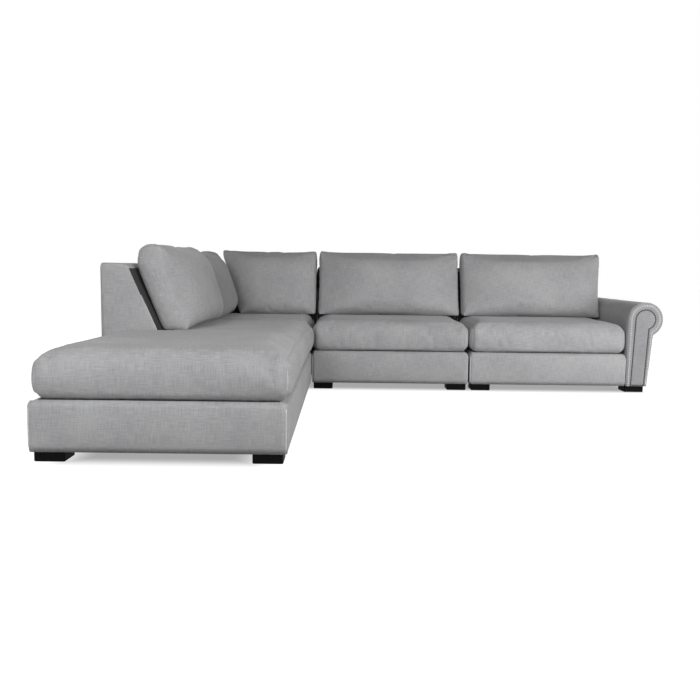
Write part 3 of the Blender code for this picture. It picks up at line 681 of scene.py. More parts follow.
def add_seams(
    name: str, paths: Sequence[Sequence[Point]], radius: float, material: bpy.types.Material, body: str,
) -> None:
    """Add one piece of round seams, and let it ride on its body.

    Args:
        name: The piece's name.
        paths: The points of each seam.
        radius: Radius of the seams.
        material: Their finish.
        body: The body that they move with.
    """
    points, faces = [], []
    for path in paths:
        seam = tube("seam", path, radius)
        base = len(points)
        points += [tuple(v.co) for v in seam.data.vertices]
        faces += [tuple(base + v for v in polygon.vertices) for polygon in seam.data.polygons]
        bpy.data.objects.remove(seam)
    finish_piece(add_piece(name, points, faces), material, body)


def search_tree(spots: Sequence[Point]) -> KDTree:
    """Return a tree that finds the nearest of many spots."""
    tree = KDTree(len(spots))
    for number, spot in enumerate(spots):
        tree.insert(spot, number)
    tree.balance()
    return tree


def thicken(hood: bpy.types.Object, thickness: float) -> None:
    """Give the skin of a hood its thickness, inwards."""
    shell = hood.modifiers.new("padding", "SOLIDIFY")
    shell.thickness = thickness
    shell.offset = -1
    bake_modifiers(hood)


@dataclass
class Inflation:
    """Cloth under pressure: swells a cushion between its seams, which are held."""

    voxel: float = 13 * MM
    pressure: float = 4.0
    frames: int = 20
    cap: float = 14 * MM
    seam_reach: float = 16 * MM
    full_hold: float = 1.6
    spare_cloth: float = 0.014

    def run(self, piece: bpy.types.Object, seams: Sequence[Point]) -> None:
        """Remesh a closed piece, inflate it and keep the result in its mesh.

        Args:
            piece: The closed cushion form.
            seams: Spots along its seams, where the cloth is held.
        """
        remesh = piece.modifiers.new("remesh", "REMESH")
        remesh.mode = "VOXEL"
        remesh.voxel_size = self.voxel
        bake_modifiers(piece)
        start = read_points(piece.data)
        tree = search_tree(seams)
        held = piece.vertex_groups.new(name="seams")
        for number, point in enumerate(start):
            distance = tree.find(point)[2]
            weight = min(1.0, max(0.0, self.full_hold - distance / self.seam_reach))
            if weight:
                held.add([number], weight, "REPLACE")
        cloth = piece.modifiers.new("swell", "CLOTH")
        settings = cloth.settings
        settings.quality = 4
        settings.mass = 0.3
        settings.tension_stiffness = 12
        settings.compression_stiffness = 12
        settings.shear_stiffness = 5
        settings.bending_stiffness = 0.4
        settings.shrink_min = -self.spare_cloth
        settings.use_pressure = True
        settings.uniform_pressure_force = self.pressure
        settings.vertex_group_mass = "seams"
        settings.effector_weights.gravity = 0
        scene = bpy.context.scene
        for number in range(1, self.frames + 1):
            scene.frame_set(number)
        graph = bpy.context.evaluated_depsgraph_get()
        swollen = piece.evaluated_get(graph).to_mesh()
        moved = read_points(swollen) - start
        reach = np.linalg.norm(moved, axis=1)
        share = np.minimum(1, self.cap / np.maximum(reach, 1e-9))
        piece.modifiers.clear()
        piece.vertex_groups.clear()
        write_points(piece.data, start + moved * share[:, None])
        scene.frame_set(1)
        LOG.info("%s swelled by up to %.1f mm", piece.name, reach.max() / MM)


def subdivide(piece: bpy.types.Object) -> None:
    """Smooth a piece by subdividing its faces once."""
    smooth = piece.modifiers.new("smooth", "SUBSURF")
    smooth.levels = 1
    smooth.render_levels = 1
    bake_modifiers(piece)


def spots_along(path: Sequence[Point], pitch: float = 4 * MM) -> list[Vector]:
    """Return spots along a path, no further apart than a pitch."""
    spots = []
    for start, end in zip(path, path[1:]):
        start, end = Vector(start), Vector(end)
        count = max(1, math.ceil((end - start).length / pitch))
        spots += [start.lerp(end, number / count) for number in range(count)]
    return [*spots, Vector(path[-1])]


def lay_on(piece: bpy.types.Object, paths: Sequence[Sequence[Point]], lift: float) -> list[list[Point]]:
    """Lay paths onto a piece's surface and smooth out their steps.

    Args:
        piece: The piece.
        paths: Paths near its surface; one that ends where it starts stays closed.
        lift: Height of the paths over the surface, less than 0 below it.

    Returns:
        The paths on the surface.
    """
    mesh = piece.data
    tree = BVHTree.FromPolygons([v.co for v in mesh.vertices], [tuple(p.vertices) for p in mesh.polygons])
    laid = []
    for path in paths:
        closed = math.dist(path[0], path[-1]) < MM
        spots = []
        for point in path[:-1] if closed else path:
            spot, normal = tree.find_nearest(Vector(point))[:2]
            spots.append(spot + normal * lift)
        for _ in range(SMOOTHING_ROUNDS):
            last = len(spots) - 1
            spots = [
                spot if not closed and number in (0, last)
                else spots[number - 1] * 0.25 + spot * 0.5 + spots[(number + 1) % len(spots)] * 0.25
                for number, spot in enumerate(spots)
            ]
        laid.append([tuple(spot) for spot in (spots + spots[:1] if closed else spots)])
    return laid


def draw_in_seams(piece: bpy.types.Object, paths: Sequence[Sequence[Point]], depth: float, width: float) -> None:
    """Pull a piece's surface in along its seams.

    Args:
        piece: The piece.
        paths: The seams, on its surface.
        depth: Depth of the groove at the seam.
        width: Distance from the seam at which about a third of the depth is left.
    """
    tree = search_tree([spot for path in paths for spot in spots_along(path)])
    push_along_normals(piece, lambda p, n: -depth * math.exp(-(tree.find(Vector(p))[2] / width) ** 2))


@dataclass
class Unit:
    """One of the four units that the sofa is made of, with its plan in metres."""

    name: str
    left: float
    right: float
    front: float
    rear: float

    @property
    def body(self) -> str:
        """Name of the body that the unit's fixed pieces ride on."""
        return f"{self.name}_unit"


def unit_of(name: str) -> Unit:
    """Read a unit's plan from its base cover."""
    low, high = part_box(f"{name}_base_cover")
    return Unit(name, low.x, high.x, low.y, high.y)


def back_thickness(height: float) -> float:
    """Return how far a back stands in from the sofa's outer face at a height."""
    above = max(0.0, height - BACK_SLOPE_FOOT)
    return max(BACK_TOP_THICKNESS, BACK_SEAT_THICKNESS - BACK_SLOPE * above)


@dataclass
class BaseUpholstery:
    """The upholstered hood over a unit's timber base: four padded sides and the deck."""

    unit: Unit
    edge: float = 26 * MM
    spacing: float = 45 * MM
    thickness: float = 11 * MM
    puff: float = 7.5 * MM
    inset: float = 3.5 * MM
    free_puff: float = 9 * MM
    deck_drop: float = 6 * MM
    deck_margin: float = 28 * MM
    corner_edge: float = 11 * MM
    swell_powers: tuple[float, float] = (6, 2.2)
    ripple: float = 1.0 * MM
    ripple_size: float = 0.16
    ripple_seed: float = 3.1
    welt: float = 3.0 * MM
    tuck: float = 4 * MM

    def facing(self, across: float, along: float) -> str:
        """Return the side that a direction in plan belongs to."""
        if abs(across) > abs(along):
            return "right" if across > 0 else "left"
        return "rear" if along > 0 else "front"

    def is_free(self, side: str) -> bool:
        """Tell whether nothing stands against a side."""
        return side in {
            "chaise": ("left", "right", "front"), "corner": ("left",), "center": ("front",), "right": ("front",),
        }[self.unit.name]

    def inset_of(self, across: float, along: float) -> float:
        """Return how far the edges of a side stay back, so that neighbours don't touch there."""
        side = self.facing(across, along)
        return -self.fullness(side) if self.is_free(side) else self.inset

    def fullness(self, side: str) -> float:
        """Return how far all of a free side stands out, edges and all: the chaise's sides are padded most."""
        return {"left": 7 * MM, "right": 6 * MM, "front": 2 * MM}.get(side, 0.0) if self.unit.name == "chaise" else 0.0

    def bulge(self, normal: Sequence[float]) -> float:
        """Return how far the side that faces a direction swells at its middle."""
        side = self.facing(normal[0], normal[1])
        flat = ("rear", "right") if self.unit.name == "right" else ("rear",)
        if side in flat and self.unit.name != "chaise":
            return self.inset
        return self.free_puff if self.is_free(side) else self.puff

    def build(self, finishes: Finishes) -> None:
        """Build the hood and its corner seams."""
        unit = self.unit
        low = (unit.left, unit.front, FOOT_HEIGHT)
        high = (unit.right, unit.rear, DECK_HEIGHT)
        block = Block(low, high, self.edge, open_below=True)
        hood = grid_skin(f"{unit.name}_base_upholstery", block.lines(self.spacing), block.is_solid, block.rounded, True)
        middle = [(a + b) / 2 for a, b in zip(low, high)]
        half = [(b - a) / 2 for a, b in zip(low, high)]

        def padding(point: np.ndarray, normal: np.ndarray) -> float:
            share = [abs(p - m) / h for p, m, h in zip(point, middle, half)]
            if abs(normal[2]) > FACING:
                return 0.0
            side = 0 if abs(normal[0]) < abs(normal[1]) else 1
            swell = 1 - min(1, share[side]) ** self.swell_powers[0]
            swell *= 1 - min(1, share[2]) ** self.swell_powers[1]
            low_tuck = self.tuck * max(0.0, 1 - (point[2] - FOOT_HEIGHT) / self.edge)
            across, along = normal[0] ** 2, normal[1] ** 2
            level = max(across + along, 1e-9)
            inset = (self.inset_of(normal[0], 0) * across + self.inset_of(0, normal[1]) * along) / level
            turn = (abs(normal[0]) + abs(normal[1])) / math.sqrt(level) - 1
            squared = (self.edge - self.corner_edge) * max(0.0, turn) * level
            ripple = self.ripple * wavy(tuple(point), self.ripple_size, self.ripple_seed)
            return self.bulge(normal) * swell - low_tuck - inset + squared + ripple

        push_along_normals(hood, padding)
        thicken(hood, self.thickness)
        finish_piece(hood, finishes.linen, unit.body, replaced=[f"{unit.name}_base_cover"])
        # The deck's inner faces go dark: painted shade in the gaps between the cushions and the base.
        deck = DECK_HEIGHT - self.deck_drop
        margin = self.deck_margin

        def is_deck(middle: Vector, normal: Vector) -> bool:
            within = unit.left + margin < middle.x < unit.right - margin and unit.front + margin < middle.y
            return within and middle.z > deck and normal.z > FACING

        line_faces(hood, finishes.shade_lining, is_deck)
        self.add_corner_seams(finishes, hood)

    def add_corner_seams(self, finishes: Finishes, hood: bpy.types.Object) -> None:
        """Add the upright seam at each front corner of the hood."""
        unit = self.unit
        outside = self.corner_edge * (1 - math.sqrt(0.5)) - self.edge / 2
        heights = np.linspace(FOOT_HEIGHT + 2 * self.tuck, DECK_HEIGHT - self.edge, 8)
        paths = [
            [(x, unit.front + outside, z) for z in heights] for x in (unit.left + outside, unit.right - outside)
        ]
        paths = lay_on(hood, paths, 0.1 * self.welt)
        # The corner welts take the lighter linen: a painted highlight down each corner seam.
        add_seams(f"{unit.name}_base_corner_seams", paths, self.welt, finishes.highlight_seam_linen, unit.body)


@dataclass
class BackUpholstery:
    """The upholstered hood of a back: upright behind, sloping in front above the seat."""

    unit: Unit
    edge: float = 26 * MM
    spacing: float = 45 * MM
    thickness: float = 11 * MM
    ripple: float = 0.9 * MM
    ripple_size: float = 0.2
    ripple_seed: float = 8.3
    welt: float = 1.6 * MM
    side_puff: float = 4.4 * MM
    puff_power: float = 8
    end_facing: float = 0.8

    def padding(self, point: np.ndarray, normal: np.ndarray, low: Point, high: Point) -> float:
        """Return how far the padding stands out at a spot: it swells where two units meet."""
        swell = 0.0
        meets = {
            "chaise": ("rear",), "corner": ("front", "right"), "center": ("left", "right"), "right": ("left",),
        }[self.unit.name]
        side = ("right" if normal[0] > 0 else "left") if abs(normal[0]) > self.end_facing else ""
        side = ("rear" if normal[1] > 0 else "front") if abs(normal[1]) > self.end_facing else side
        ends = {
            "left": point[0] - low[0], "right": high[0] - point[0],
            "front": point[1] - low[1], "rear": high[1] - point[1],
        }
        if side in meets and ends[side] < 2 * MM:
            up = 2 * (point[2] - low[2]) / (high[2] - low[2]) - 1
            swell = self.side_puff * (1 - max(0.0, up) ** self.puff_power)
        return swell - self.ripple + self.ripple * wavy(tuple(point), self.ripple_size, self.ripple_seed)

    def build(self, finishes: Finishes) -> None:
        """Build the hood and the seams round its end panels."""
        unit = self.unit
        name = unit.name
        bottom = DECK_HEIGHT + HAIRLINE
        thick = BACK_SEAT_THICKNESS
        low, high = part_box(f"{name}_back_cover")
        low, high = (low.x, low.y, bottom), (high.x, high.y, BACK_HEIGHT)
        notch = (unit.left + thick, unit.rear - thick) if name == "corner" else None
        block = Block(low, high, self.edge, notch, (1, -1), open_below=True)
        beside = name in ("chaise", "corner")
        behind = name != "chaise"

        def shape(x: float, y: float, z: float) -> Point:
            x, y, z = block.rounded(x, y, z)
            share = back_thickness(z) / thick
            from_left, from_rear = x - unit.left, unit.rear - y
            if beside and from_left <= thick + HAIRLINE and (not behind or from_rear >= 0):
                x = unit.left + from_left * share
            if behind and from_rear <= thick + HAIRLINE:
                y = unit.rear - from_rear * share
            return x, y, z

        lines = block.lines(self.spacing)
        lines[2] = sorted({*lines[2], BACK_SLOPE_FOOT})
        hood = grid_skin(f"{name}_back_upholstery", lines, block.is_solid, shape, True)
        push_along_normals(hood, lambda p, n: self.padding(p, n, low, high))
        thicken(hood, self.thickness)
        finish_piece(hood, finishes.linen, unit.body, replaced=[f"{name}_back_cover"])

        # The sloping inner faces go dark: painted shade behind the back cushions.
        def is_covered(middle: Vector, normal: Vector) -> bool:
            inward = beside and normal.x > FACING and middle.x < unit.left + thick
            inward = inward or (behind and normal.y < -FACING and middle.y > unit.rear - thick)
            return inward and middle.z < BACK_HEIGHT - self.edge

        line_faces(hood, finishes.shade_lining, is_covered)
        self.add_end_seams(finishes, low, high)

    def add_end_seams(self, finishes: Finishes, low: Point, high: Point) -> None:
        """Add the seam that runs round the back's end panels."""
        unit = self.unit
        inset = self.edge * (1 - math.sqrt(0.5)) + self.ripple
        heights = np.linspace(SEAT_EDGE_HEIGHT, BACK_HEIGHT - self.edge, 12)
        top = BACK_HEIGHT - inset
        slope = [(back_thickness(z) - inset, z) for z in heights]
        outer = [(inset, z) for z in reversed(heights)]
        across = np.linspace(back_thickness(BACK_HEIGHT) - self.edge, self.edge, 6)
        profile = [*slope, *[(d, top) for d in across], *outer]
        paths = []
        if unit.name == "chaise":
            paths = [[(unit.left + d, low[1] + inset, z) for d, z in profile]]
        elif unit.name == "right":
            paths = [[(high[0] - inset, unit.rear - d, z) for d, z in profile]]
        if paths:
            # The welt takes the lighter linen: a painted highlight round the end panel.
            add_seams(f"{unit.name}_back_end_seam", paths, self.welt, finishes.highlight_seam_linen, unit.body)


@dataclass
class SeatCushion:
    """A loose boxed seat cushion: crowned top, drawn-in sides, welted seams along its top and bottom."""

    unit: Unit
    left: float
    right: float
    front: float
    rear: float
    tucked: tuple[str, ...]
    snug: tuple[str, ...]
    free: tuple[str, ...] = ("front",)
    notch: Optional[tuple[float, float]] = None
    edge: float = 46 * MM
    spacing: float = 32 * MM
    bulge: float = 4 * MM
    free_bulge: float = 12 * MM
    overshoot: float = 12 * MM
    draw_in: float = 7 * MM
    crown_run: float = 0.26
    tucked_run: float = 0.08
    crown_power: float = 2.4
    lift_power: float = 1.5
    belly_skew: float = 0.35
    extra_crown: float = 12 * MM
    open_front: float = 60 * MM
    slack: float = 2 * MM
    crease: float = 1.6 * MM
    crease_sizes: tuple[float, float] = (0.22, 0.07)
    fine_crease: float = 0.4
    crease_level: float = 0.6
    notch_room: float = 1.5 * MM
    groove: float = 3.4 * MM
    groove_width: float = 10 * MM
    welt: float = 2.7 * MM
    corner_welt: float = 3.0 * MM
    seam_step: float = 25 * MM
    fold_spots: int = 40
    seed: float = 1.0

    def rise(self, distance: float, run: float) -> float:
        """Return how much of the crown is reached at a distance from an edge, from 0 to 1."""
        return 1 - (1 - min(max(distance, 0) / run, 1)) ** self.crown_power

    def crown(self, x: float, y: float) -> float:
        """Return the height of the crown above the edge at a spot in plan."""
        runs = {side: self.tucked_run if side in self.tucked else self.crown_run for side in SIDES}
        share = self.rise(x - self.left, runs["left"]) * self.rise(self.right - x, runs["right"])
        share *= self.rise(y - self.front, runs["front"]) * self.rise(self.rear - y, runs["rear"])
        if self.notch:
            away = math.hypot(max(x - self.notch[0], 0), max(self.notch[1] - y, 0))
            swell = self.extra_crown * self.rise(self.notch[1] - y, self.crown_run)
            return (SEAT_CROWN + swell) * share * self.rise(away, self.tucked_run)
        return SEAT_CROWN * share

    def build(self, finishes: Finishes) -> None:
        """Build the cushion and its seams; where they run down the front they are lighter, a painted highlight."""
        name, body = self.unit.name, f"{self.unit.name}_seat"
        bottom = DECK_HEIGHT + HAIRLINE
        height = SEAT_EDGE_HEIGHT - bottom
        block = Block(
            (self.left, self.front, bottom), (self.right, self.rear, SEAT_EDGE_HEIGHT), self.edge, self.notch,
        )

        def shape(x: float, y: float, z: float) -> Point:
            lift = self.crown(x, y) * max(0.0, (z - bottom) / height) ** self.lift_power
            px, py, pz = block.rounded(x, y, z)
            across = 2 * (px - self.left) / (self.right - self.left) - 1
            along = 2 * (py - self.front) / (self.rear - self.front) - 1
            rise = 2 * (pz - bottom) / height - 1
            belly = (1 - rise ** 2) * (1 - self.belly_skew * rise)
            for side, value, edge, sign in (
                ("left", px, self.left, 1), ("right", px, self.right, -1),
                ("front", py, self.front, 1), ("rear", py, self.rear, -1),
            ):
                near = max(0.0, 1 - abs(value - edge) / (2 * self.edge)) ** 2
                if side in self.snug or (self.notch and side == "left" and py > self.notch[1]):
                    continue
                draw = self.draw_in * (1 - (along if side in ("left", "right") else across) ** 2)
                swell = belly * (self.free_bulge if side in self.free else self.bulge)
                if side in ("left", "right"):
                    px += sign * near * (draw - swell)
                else:
                    py += sign * near * (draw - swell)
            return px, py, pz + lift

        cushion = grid_skin(f"{name}_padded_seat_cushion", block.lines(self.spacing), block.is_solid, shape)
        seams = self.seam_paths(shape)
        push_along_normals(cushion, lambda p, n: -self.slack * (n[2] > -0.5))
        held = [*seams, *self.folds(shape)]
        Inflation(voxel=15 * MM, cap=9 * MM).run(cushion, [p for path in held for p in path])
        subdivide(cushion)
        self.settle(cushion)
        draw_in_seams(cushion, lay_on(cushion, seams, 0.0), self.groove, self.groove_width)
        seams = lay_on(cushion, seams, -SEAM_SINK * self.welt)
        finish_piece(cushion, finishes.linen, body, replaced=[f"{name}_seat_cushion"])
        add_seams(f"{name}_seat_cushion_seams", seams, self.welt, finishes.linen, body)
        # The front corner welts take the lighter linen: a painted highlight down each corner seam.
        fronts = [[spot for spot in path[:len(path) // 2] if spot[1] < self.front + self.edge / 2] for path in seams]
        fronts = [path for path in fronts if len(path) > 2]
        if fronts:
            add_seams(f"{name}_seat_cushion_corner_seams", fronts, self.corner_welt, finishes.highlight_seam_linen, body)

    def settle(self, cushion: bpy.types.Object) -> None:
        """Add the cloth's soft creases, and keep the cushion inside the room it has."""
        def creases(point: np.ndarray, normal: np.ndarray) -> float:
            amount = self.crease if normal[2] > -0.3 else 0.0
            broad = wavy(tuple(point), self.crease_sizes[0], self.seed)
            fine = wavy(tuple(point), self.crease_sizes[1], self.seed + 5)
            return amount * (broad + self.fine_crease * fine - self.crease_level)

        push_along_normals(cushion, creases)
        low, high = part_box(f"{self.unit.name}_seat_cushion")
        points = read_points(cushion.data)
        room = self.notch_room
        over = {side: self.overshoot * (side in self.free) for side in ("left", "right", "front")}
        points[:, 0] = np.clip(points[:, 0], low.x - over["left"], high.x + over["right"])
        points[:, 1] = np.clip(points[:, 1], low.y - over["front"], high.y)
        tops = self.ceiling(points)
        points[:, 2] = np.clip(points[:, 2], low.z, tops)
        if self.notch:
            beside = (points[:, 0] < self.notch[0] + room) & (points[:, 1] > self.notch[1] + room)
            points[beside, 0] = self.notch[0]
            before = (points[:, 0] < self.notch[0]) & (points[:, 1] > self.notch[1] - room) & ~beside
            points[before, 1] = np.minimum(points[before, 1], self.notch[1])
        write_points(cushion.data, points)

    def ceiling(self, points: np.ndarray) -> np.ndarray:
        """Return the height that each point may reach: under the back cushions, the seat's own height."""
        if not self.notch:
            return np.full(len(points), SEAT_HEIGHT - HAIRLINE)
        open_front = points[:, 1] < self.notch[1] + self.open_front
        return np.where(open_front, SEAT_HEIGHT + self.extra_crown, SEAT_HEIGHT - HAIRLINE)

    def seam_paths(self, shape: Shaper) -> list[list[Point]]:
        """Return the seams round the two end panels: the cloth between them wraps over the front."""
        low, high = DECK_HEIGHT + HAIRLINE, SEAT_EDGE_HEIGHT
        paths = []
        for x, rear in ((self.left, self.notch[1] if self.notch else self.rear), (self.right, self.rear)):
            corners = [(self.front, low), (self.front, high), (rear, high), (rear, low)]
            path = []
            for start, end in zip(corners, [*corners[1:], corners[0]]):
                count = max(2, round(math.dist(start, end) / self.seam_step))
                for number in range(count):
                    y, z = (a + (b - a) * number / count for a, b in zip(start, end))
                    path.append(shape(x, y, z))
            paths.append([*path, path[0]])
        return paths

    def folds(self, shape: Shaper) -> list[list[Point]]:
        """Return the lines along the bottom of the front and the rear where the cloth turns under."""
        xs = np.linspace(self.left, self.right, self.fold_spots)
        inner = xs if not self.notch else [max(x, self.notch[0]) for x in xs]
        bottom = DECK_HEIGHT + HAIRLINE
        return [[shape(x, self.front, bottom) for x in xs], [shape(x, self.rear, bottom) for x in inner]]


@dataclass
class BackCushion:
    """A loose back cushion: flat where it leans, crowned in front, domed on top, with pulled-out corners.

    It is shaped along its length, across its thickness and up, and to_world sets those three in the part.
    """

    name: str
    node: str
    body: str
    length: float
    to_world: Shaper
    lean_axis: str
    lean_end: bool = False
    free_start: bool = False
    free_end: bool = False
    shifts: tuple[float, float] = (0.0, 0.0)
    end_bulge: float = 24 * MM
    dip: Optional[tuple[float, float]] = None
    square_end: float = 0.0
    end_lift: float = 0.0
    top_lift: float = 0.0
    full_end: float = 0.0
    top_corners: tuple[float, float] = (0.0, 0.0)
    has_painted_shade: bool = False
    foot_thickness: float = 0.131
    top_offset: float = 0.276
    stand_off: float = 30 * MM
    crown: float = 0.094
    crown_power: float = 3
    face_power: float = 6
    waist_power: float = 2.5
    corner_power: float = 9
    round_start: float = 0.65
    sag: float = 2 * MM
    sag_wave: tuple[float, float, float] = (0.6, 0.4, 7)
    start_sag: float = 13 * MM
    dip_run: float = 0.09
    end_spread: float = 27 * MM
    end_spread_power: float = 5
    end_room: float = 20 * MM
    neighbour_gap: float = 2 * MM
    pressed_run: float = 0.0
    pressed_share: float = 0.40
    edge: float = 15 * MM
    dome: float = 0.034
    draw_in: float = 6 * MM
    ear: float = 6 * MM
    spacing: float = 30 * MM
    slack: float = 2 * MM
    crease: float = 2.8 * MM
    crease_fan: float = 9
    crease_reach: float = 0.075
    crease_start: float = 0.02
    broad_crease: float = 0.7
    broad_size: float = 0.19
    crease_level: float = 0.5
    droop: float = 8 * MM
    seam_steps: tuple[int, int] = (14, 5)
    lean_share: float = 0.6
    groove: float = 2.2 * MM
    groove_width: float = 9 * MM
    welt: float = 1.4 * MM
    seed: float = 1.0

    @property
    def height(self) -> float:
        """Height of the cushion above the seat."""
        return part_box(self.node)[1].z - self.foot

    @property
    def foot(self) -> float:
        """Height of the cushion's underside above the floor."""
        return SEAT_HEIGHT + HAIRLINE

    def front_offset(self, z: float) -> float:
        """Return how far the cushion's front edge is from the sofa's outer face at a height."""
        start = BACK_SEAT_THICKNESS + self.foot_thickness
        return start + (z - self.foot) / self.height * (self.top_offset - start)

    def crown_share(self, along: float) -> float:
        """Return the share of the crown at a place along the cushion, less where its neighbour presses it."""
        free = self.length - self.pressed_run
        run = 2 * min(along, free) / free - 1
        fall = 1 - self.pressed_share if self.pressed_run and run > 0 else 1
        fall -= self.full_end if run > 0 else 0
        return max(0.0, 1 - fall * abs(run) ** self.crown_power)

    def shape(self, along: float, depth: float, up: float) -> Point:
        """Move a point of the square block to its place on the cushion, before the lean of the back."""
        thick = self.foot_thickness
        sizes = (self.length, thick, self.height)
        core = [min(max(v, self.edge), s - self.edge) for v, s in zip((along, depth, up), sizes)]
        away = [v - c for v, c in zip((along, depth, up), core)]
        reach = max(math.hypot(*away), self.edge)
        along, depth, up = [c + a * self.edge / reach for c, a in zip(core, away)]
        run = 2 * along / self.length - 1
        rise = 2 * up / self.height - 1
        front = depth / thick
        across = abs(2 * front - 1)
        corner = abs(run) ** self.corner_power
        high = max(0.0, rise)
        waist = max(0.0, 1 - abs(rise) ** self.waist_power)
        crown = self.crown * self.crown_share(along) * max(0.0, 1 - abs(rise) ** self.face_power) * front
        along -= self.draw_in * run ** 3 * waist
        if self.free_start and run < 0:
            along -= self.end_bulge * (-run) ** self.corner_power * waist * (1 - across ** 3)
        dome = self.dome * across ** self.waist_power * high ** 3 * (1 - self.square_end * max(0.0, run) ** 2)
        if self.free_start and run < 0:
            dome *= 1 - self.round_start * run ** 2 * (front > 0.5)
        ears = self.ear * corner * high ** self.corner_power * (1 - across ** 2)
        level, wave, waves = self.sag_wave
        sag = self.sag * high ** self.corner_power * (1 - corner) * (level + wave * math.cos(waves * run + self.seed))
        if self.free_start:
            sag += self.start_sag * max(0.0, -run) ** 3 * high ** self.face_power
        if self.dip:
            away = (along / self.length - self.dip[0]) / self.dip_run
            sag += self.dip[1] * math.exp(-away ** 2) * high ** self.face_power
        share = min(1.0, max(0.0, along / self.length))
        lift = self.top_lift + self.end_lift * share ** 3 - 0.6 * self.end_lift * (1 - share) ** 2
        lift *= high ** self.face_power
        lift -= self.droop * corner * max(0.0, -rise) ** 4
        z = self.foot + up - dome + ears - sag + lift
        behind = back_thickness(z) + HAIRLINE + self.stand_off * ((z - self.foot) / self.height) ** 2
        offset = behind + front * (self.front_offset(z) - behind) + crown
        pulled = self.top_corners[0] * (1 - share) ** 3 + self.top_corners[1] * share ** 3
        offset += pulled * high ** 4 * front
        if self.lean_end:
            start = self.front_offset(z) + self.crown * self.pressed_share + self.neighbour_gap
            along = start + along * (self.length - start) / self.length
        share = along / self.length
        along += self.shifts[0] * (1 - share) + self.shifts[1] * share
        if self.free_end:
            above = max(0.0, (z - ARM_HEIGHT) / (CUSHION_TOP - ARM_HEIGHT))
            along += self.end_spread * share ** self.end_spread_power * above
        return along, offset, z

    def seam_paths(self) -> list[list[Point]]:
        """Return the seams round both end panels, in the part's frame."""
        paths = []
        up_steps, steps = self.seam_steps
        thick = self.foot_thickness
        for along in (0.0, self.length):
            loop = [(0.0, self.height * n / up_steps) for n in range(up_steps)]
            loop += [(thick * n / steps, self.height) for n in range(steps)]
            loop += [(thick, self.height * (1 - n / up_steps)) for n in range(up_steps)]
            loop += [(thick * (1 - n / steps), 0.0) for n in range(steps)]
            path = [self.to_world(*self.shape(along, depth, up)) for depth, up in loop]
            paths.append([*path, path[0]])
        return paths

    def build(self, finishes: Finishes) -> None:
        """Build the cushion, its end seams and its weave."""
        sizes = (self.length, self.foot_thickness, self.height)
        lines = [rounded_marks(0.0, size, self.edge, self.spacing) for size in sizes]
        cushion = grid_skin(self.name, lines, lambda *_: True, lambda a, d, u: self.to_world(*self.shape(a, d, u)))
        seams = self.seam_paths()
        push_along_normals(cushion, lambda p, n: -self.slack)
        Inflation(voxel=12 * MM, cap=12 * MM, spare_cloth=0.006).run(cushion, [p for path in seams for p in path])
        subdivide(cushion)
        self.settle(cushion)
        draw_in_seams(cushion, lay_on(cushion, seams, 0.0), self.groove, self.groove_width)
        seams = lay_on(cushion, seams, -SEAM_SINK * self.welt)
        lean = Matrix.Rotation(-math.atan(BACK_SLOPE) * self.lean_share, 3, self.lean_axis)
        # A cushion deep in the corner takes the darker linen: painted shade.
        linen = finishes.shaded_cushion_linen if self.has_painted_shade else finishes.linen
        finish_piece(cushion, linen, self.body, replaced=[self.node], lean=lean)
        add_seams(f"{self.name}_end_seams", seams, self.welt, linen, self.body)

    def settle(self, cushion: bpy.types.Object) -> None:
        """Crease the cloth out of the corners, and keep the cushion off its neighbours."""
        corners = [
            Vector(self.to_world(*self.shape(along, self.foot_thickness, up)))
            for along in (0.0, self.length) for up in (0.0, self.height)
        ]
        centre = sum(corners, Vector()) / len(corners)

        def creases(point: np.ndarray, _normal: np.ndarray) -> float:
            spot = Vector(point)
            amount = 0.0
            for number, corner in enumerate(corners):
                arm = spot - corner
                distance = arm.length
                fade = math.exp(-distance / self.crease_reach) * min(1.0, distance / self.crease_start)
                inward = (centre - corner).normalized()
                angle = math.acos(max(-1.0, min(1.0, arm.normalized().dot(inward)))) if distance > MM else 0
                amount += fade * math.cos(self.crease_fan * angle + self.seed + number)
            broad = wavy(tuple(point), self.broad_size, self.seed)
            return self.crease * (amount + self.broad_crease * broad - self.crease_level)

        push_along_normals(cushion, creases)
        low, high = part_box(self.node)
        points = read_points(cushion.data)
        points[:, 2] = np.clip(points[:, 2], self.foot, high.z + self.ear)
        depth_axis, sign, outer = (1, -1, REAR) if self.lean_axis == "X" else (0, 1, LEFT)
        offset = (points[:, depth_axis] - outer) * sign
        limit = np.array([back_thickness(z) + HAIRLINE for z in points[:, 2]])
        points[:, depth_axis] = outer + sign * np.maximum(offset, limit)
        if self.lean_end:
            pressed = self.crown * self.pressed_share
            start = np.array([self.front_offset(z) + pressed for z in points[:, 2]]) + HAIRLINE
            points[:, 0] = np.maximum(points[:, 0], LEFT + start)
        run_axis = 1 - depth_axis
        least = low[run_axis] + self.shifts[0] - self.end_bulge * self.free_start
        above = np.clip((points[:, 2] - ARM_HEIGHT) / (CUSHION_TOP - ARM_HEIGHT), 0, 1) * self.free_end
        most = high[run_axis] + self.shifts[1] + MM + self.end_room * above
        points[:, run_axis] = np.clip(points[:, run_axis], least, most)
        write_points(cushion.data, points)


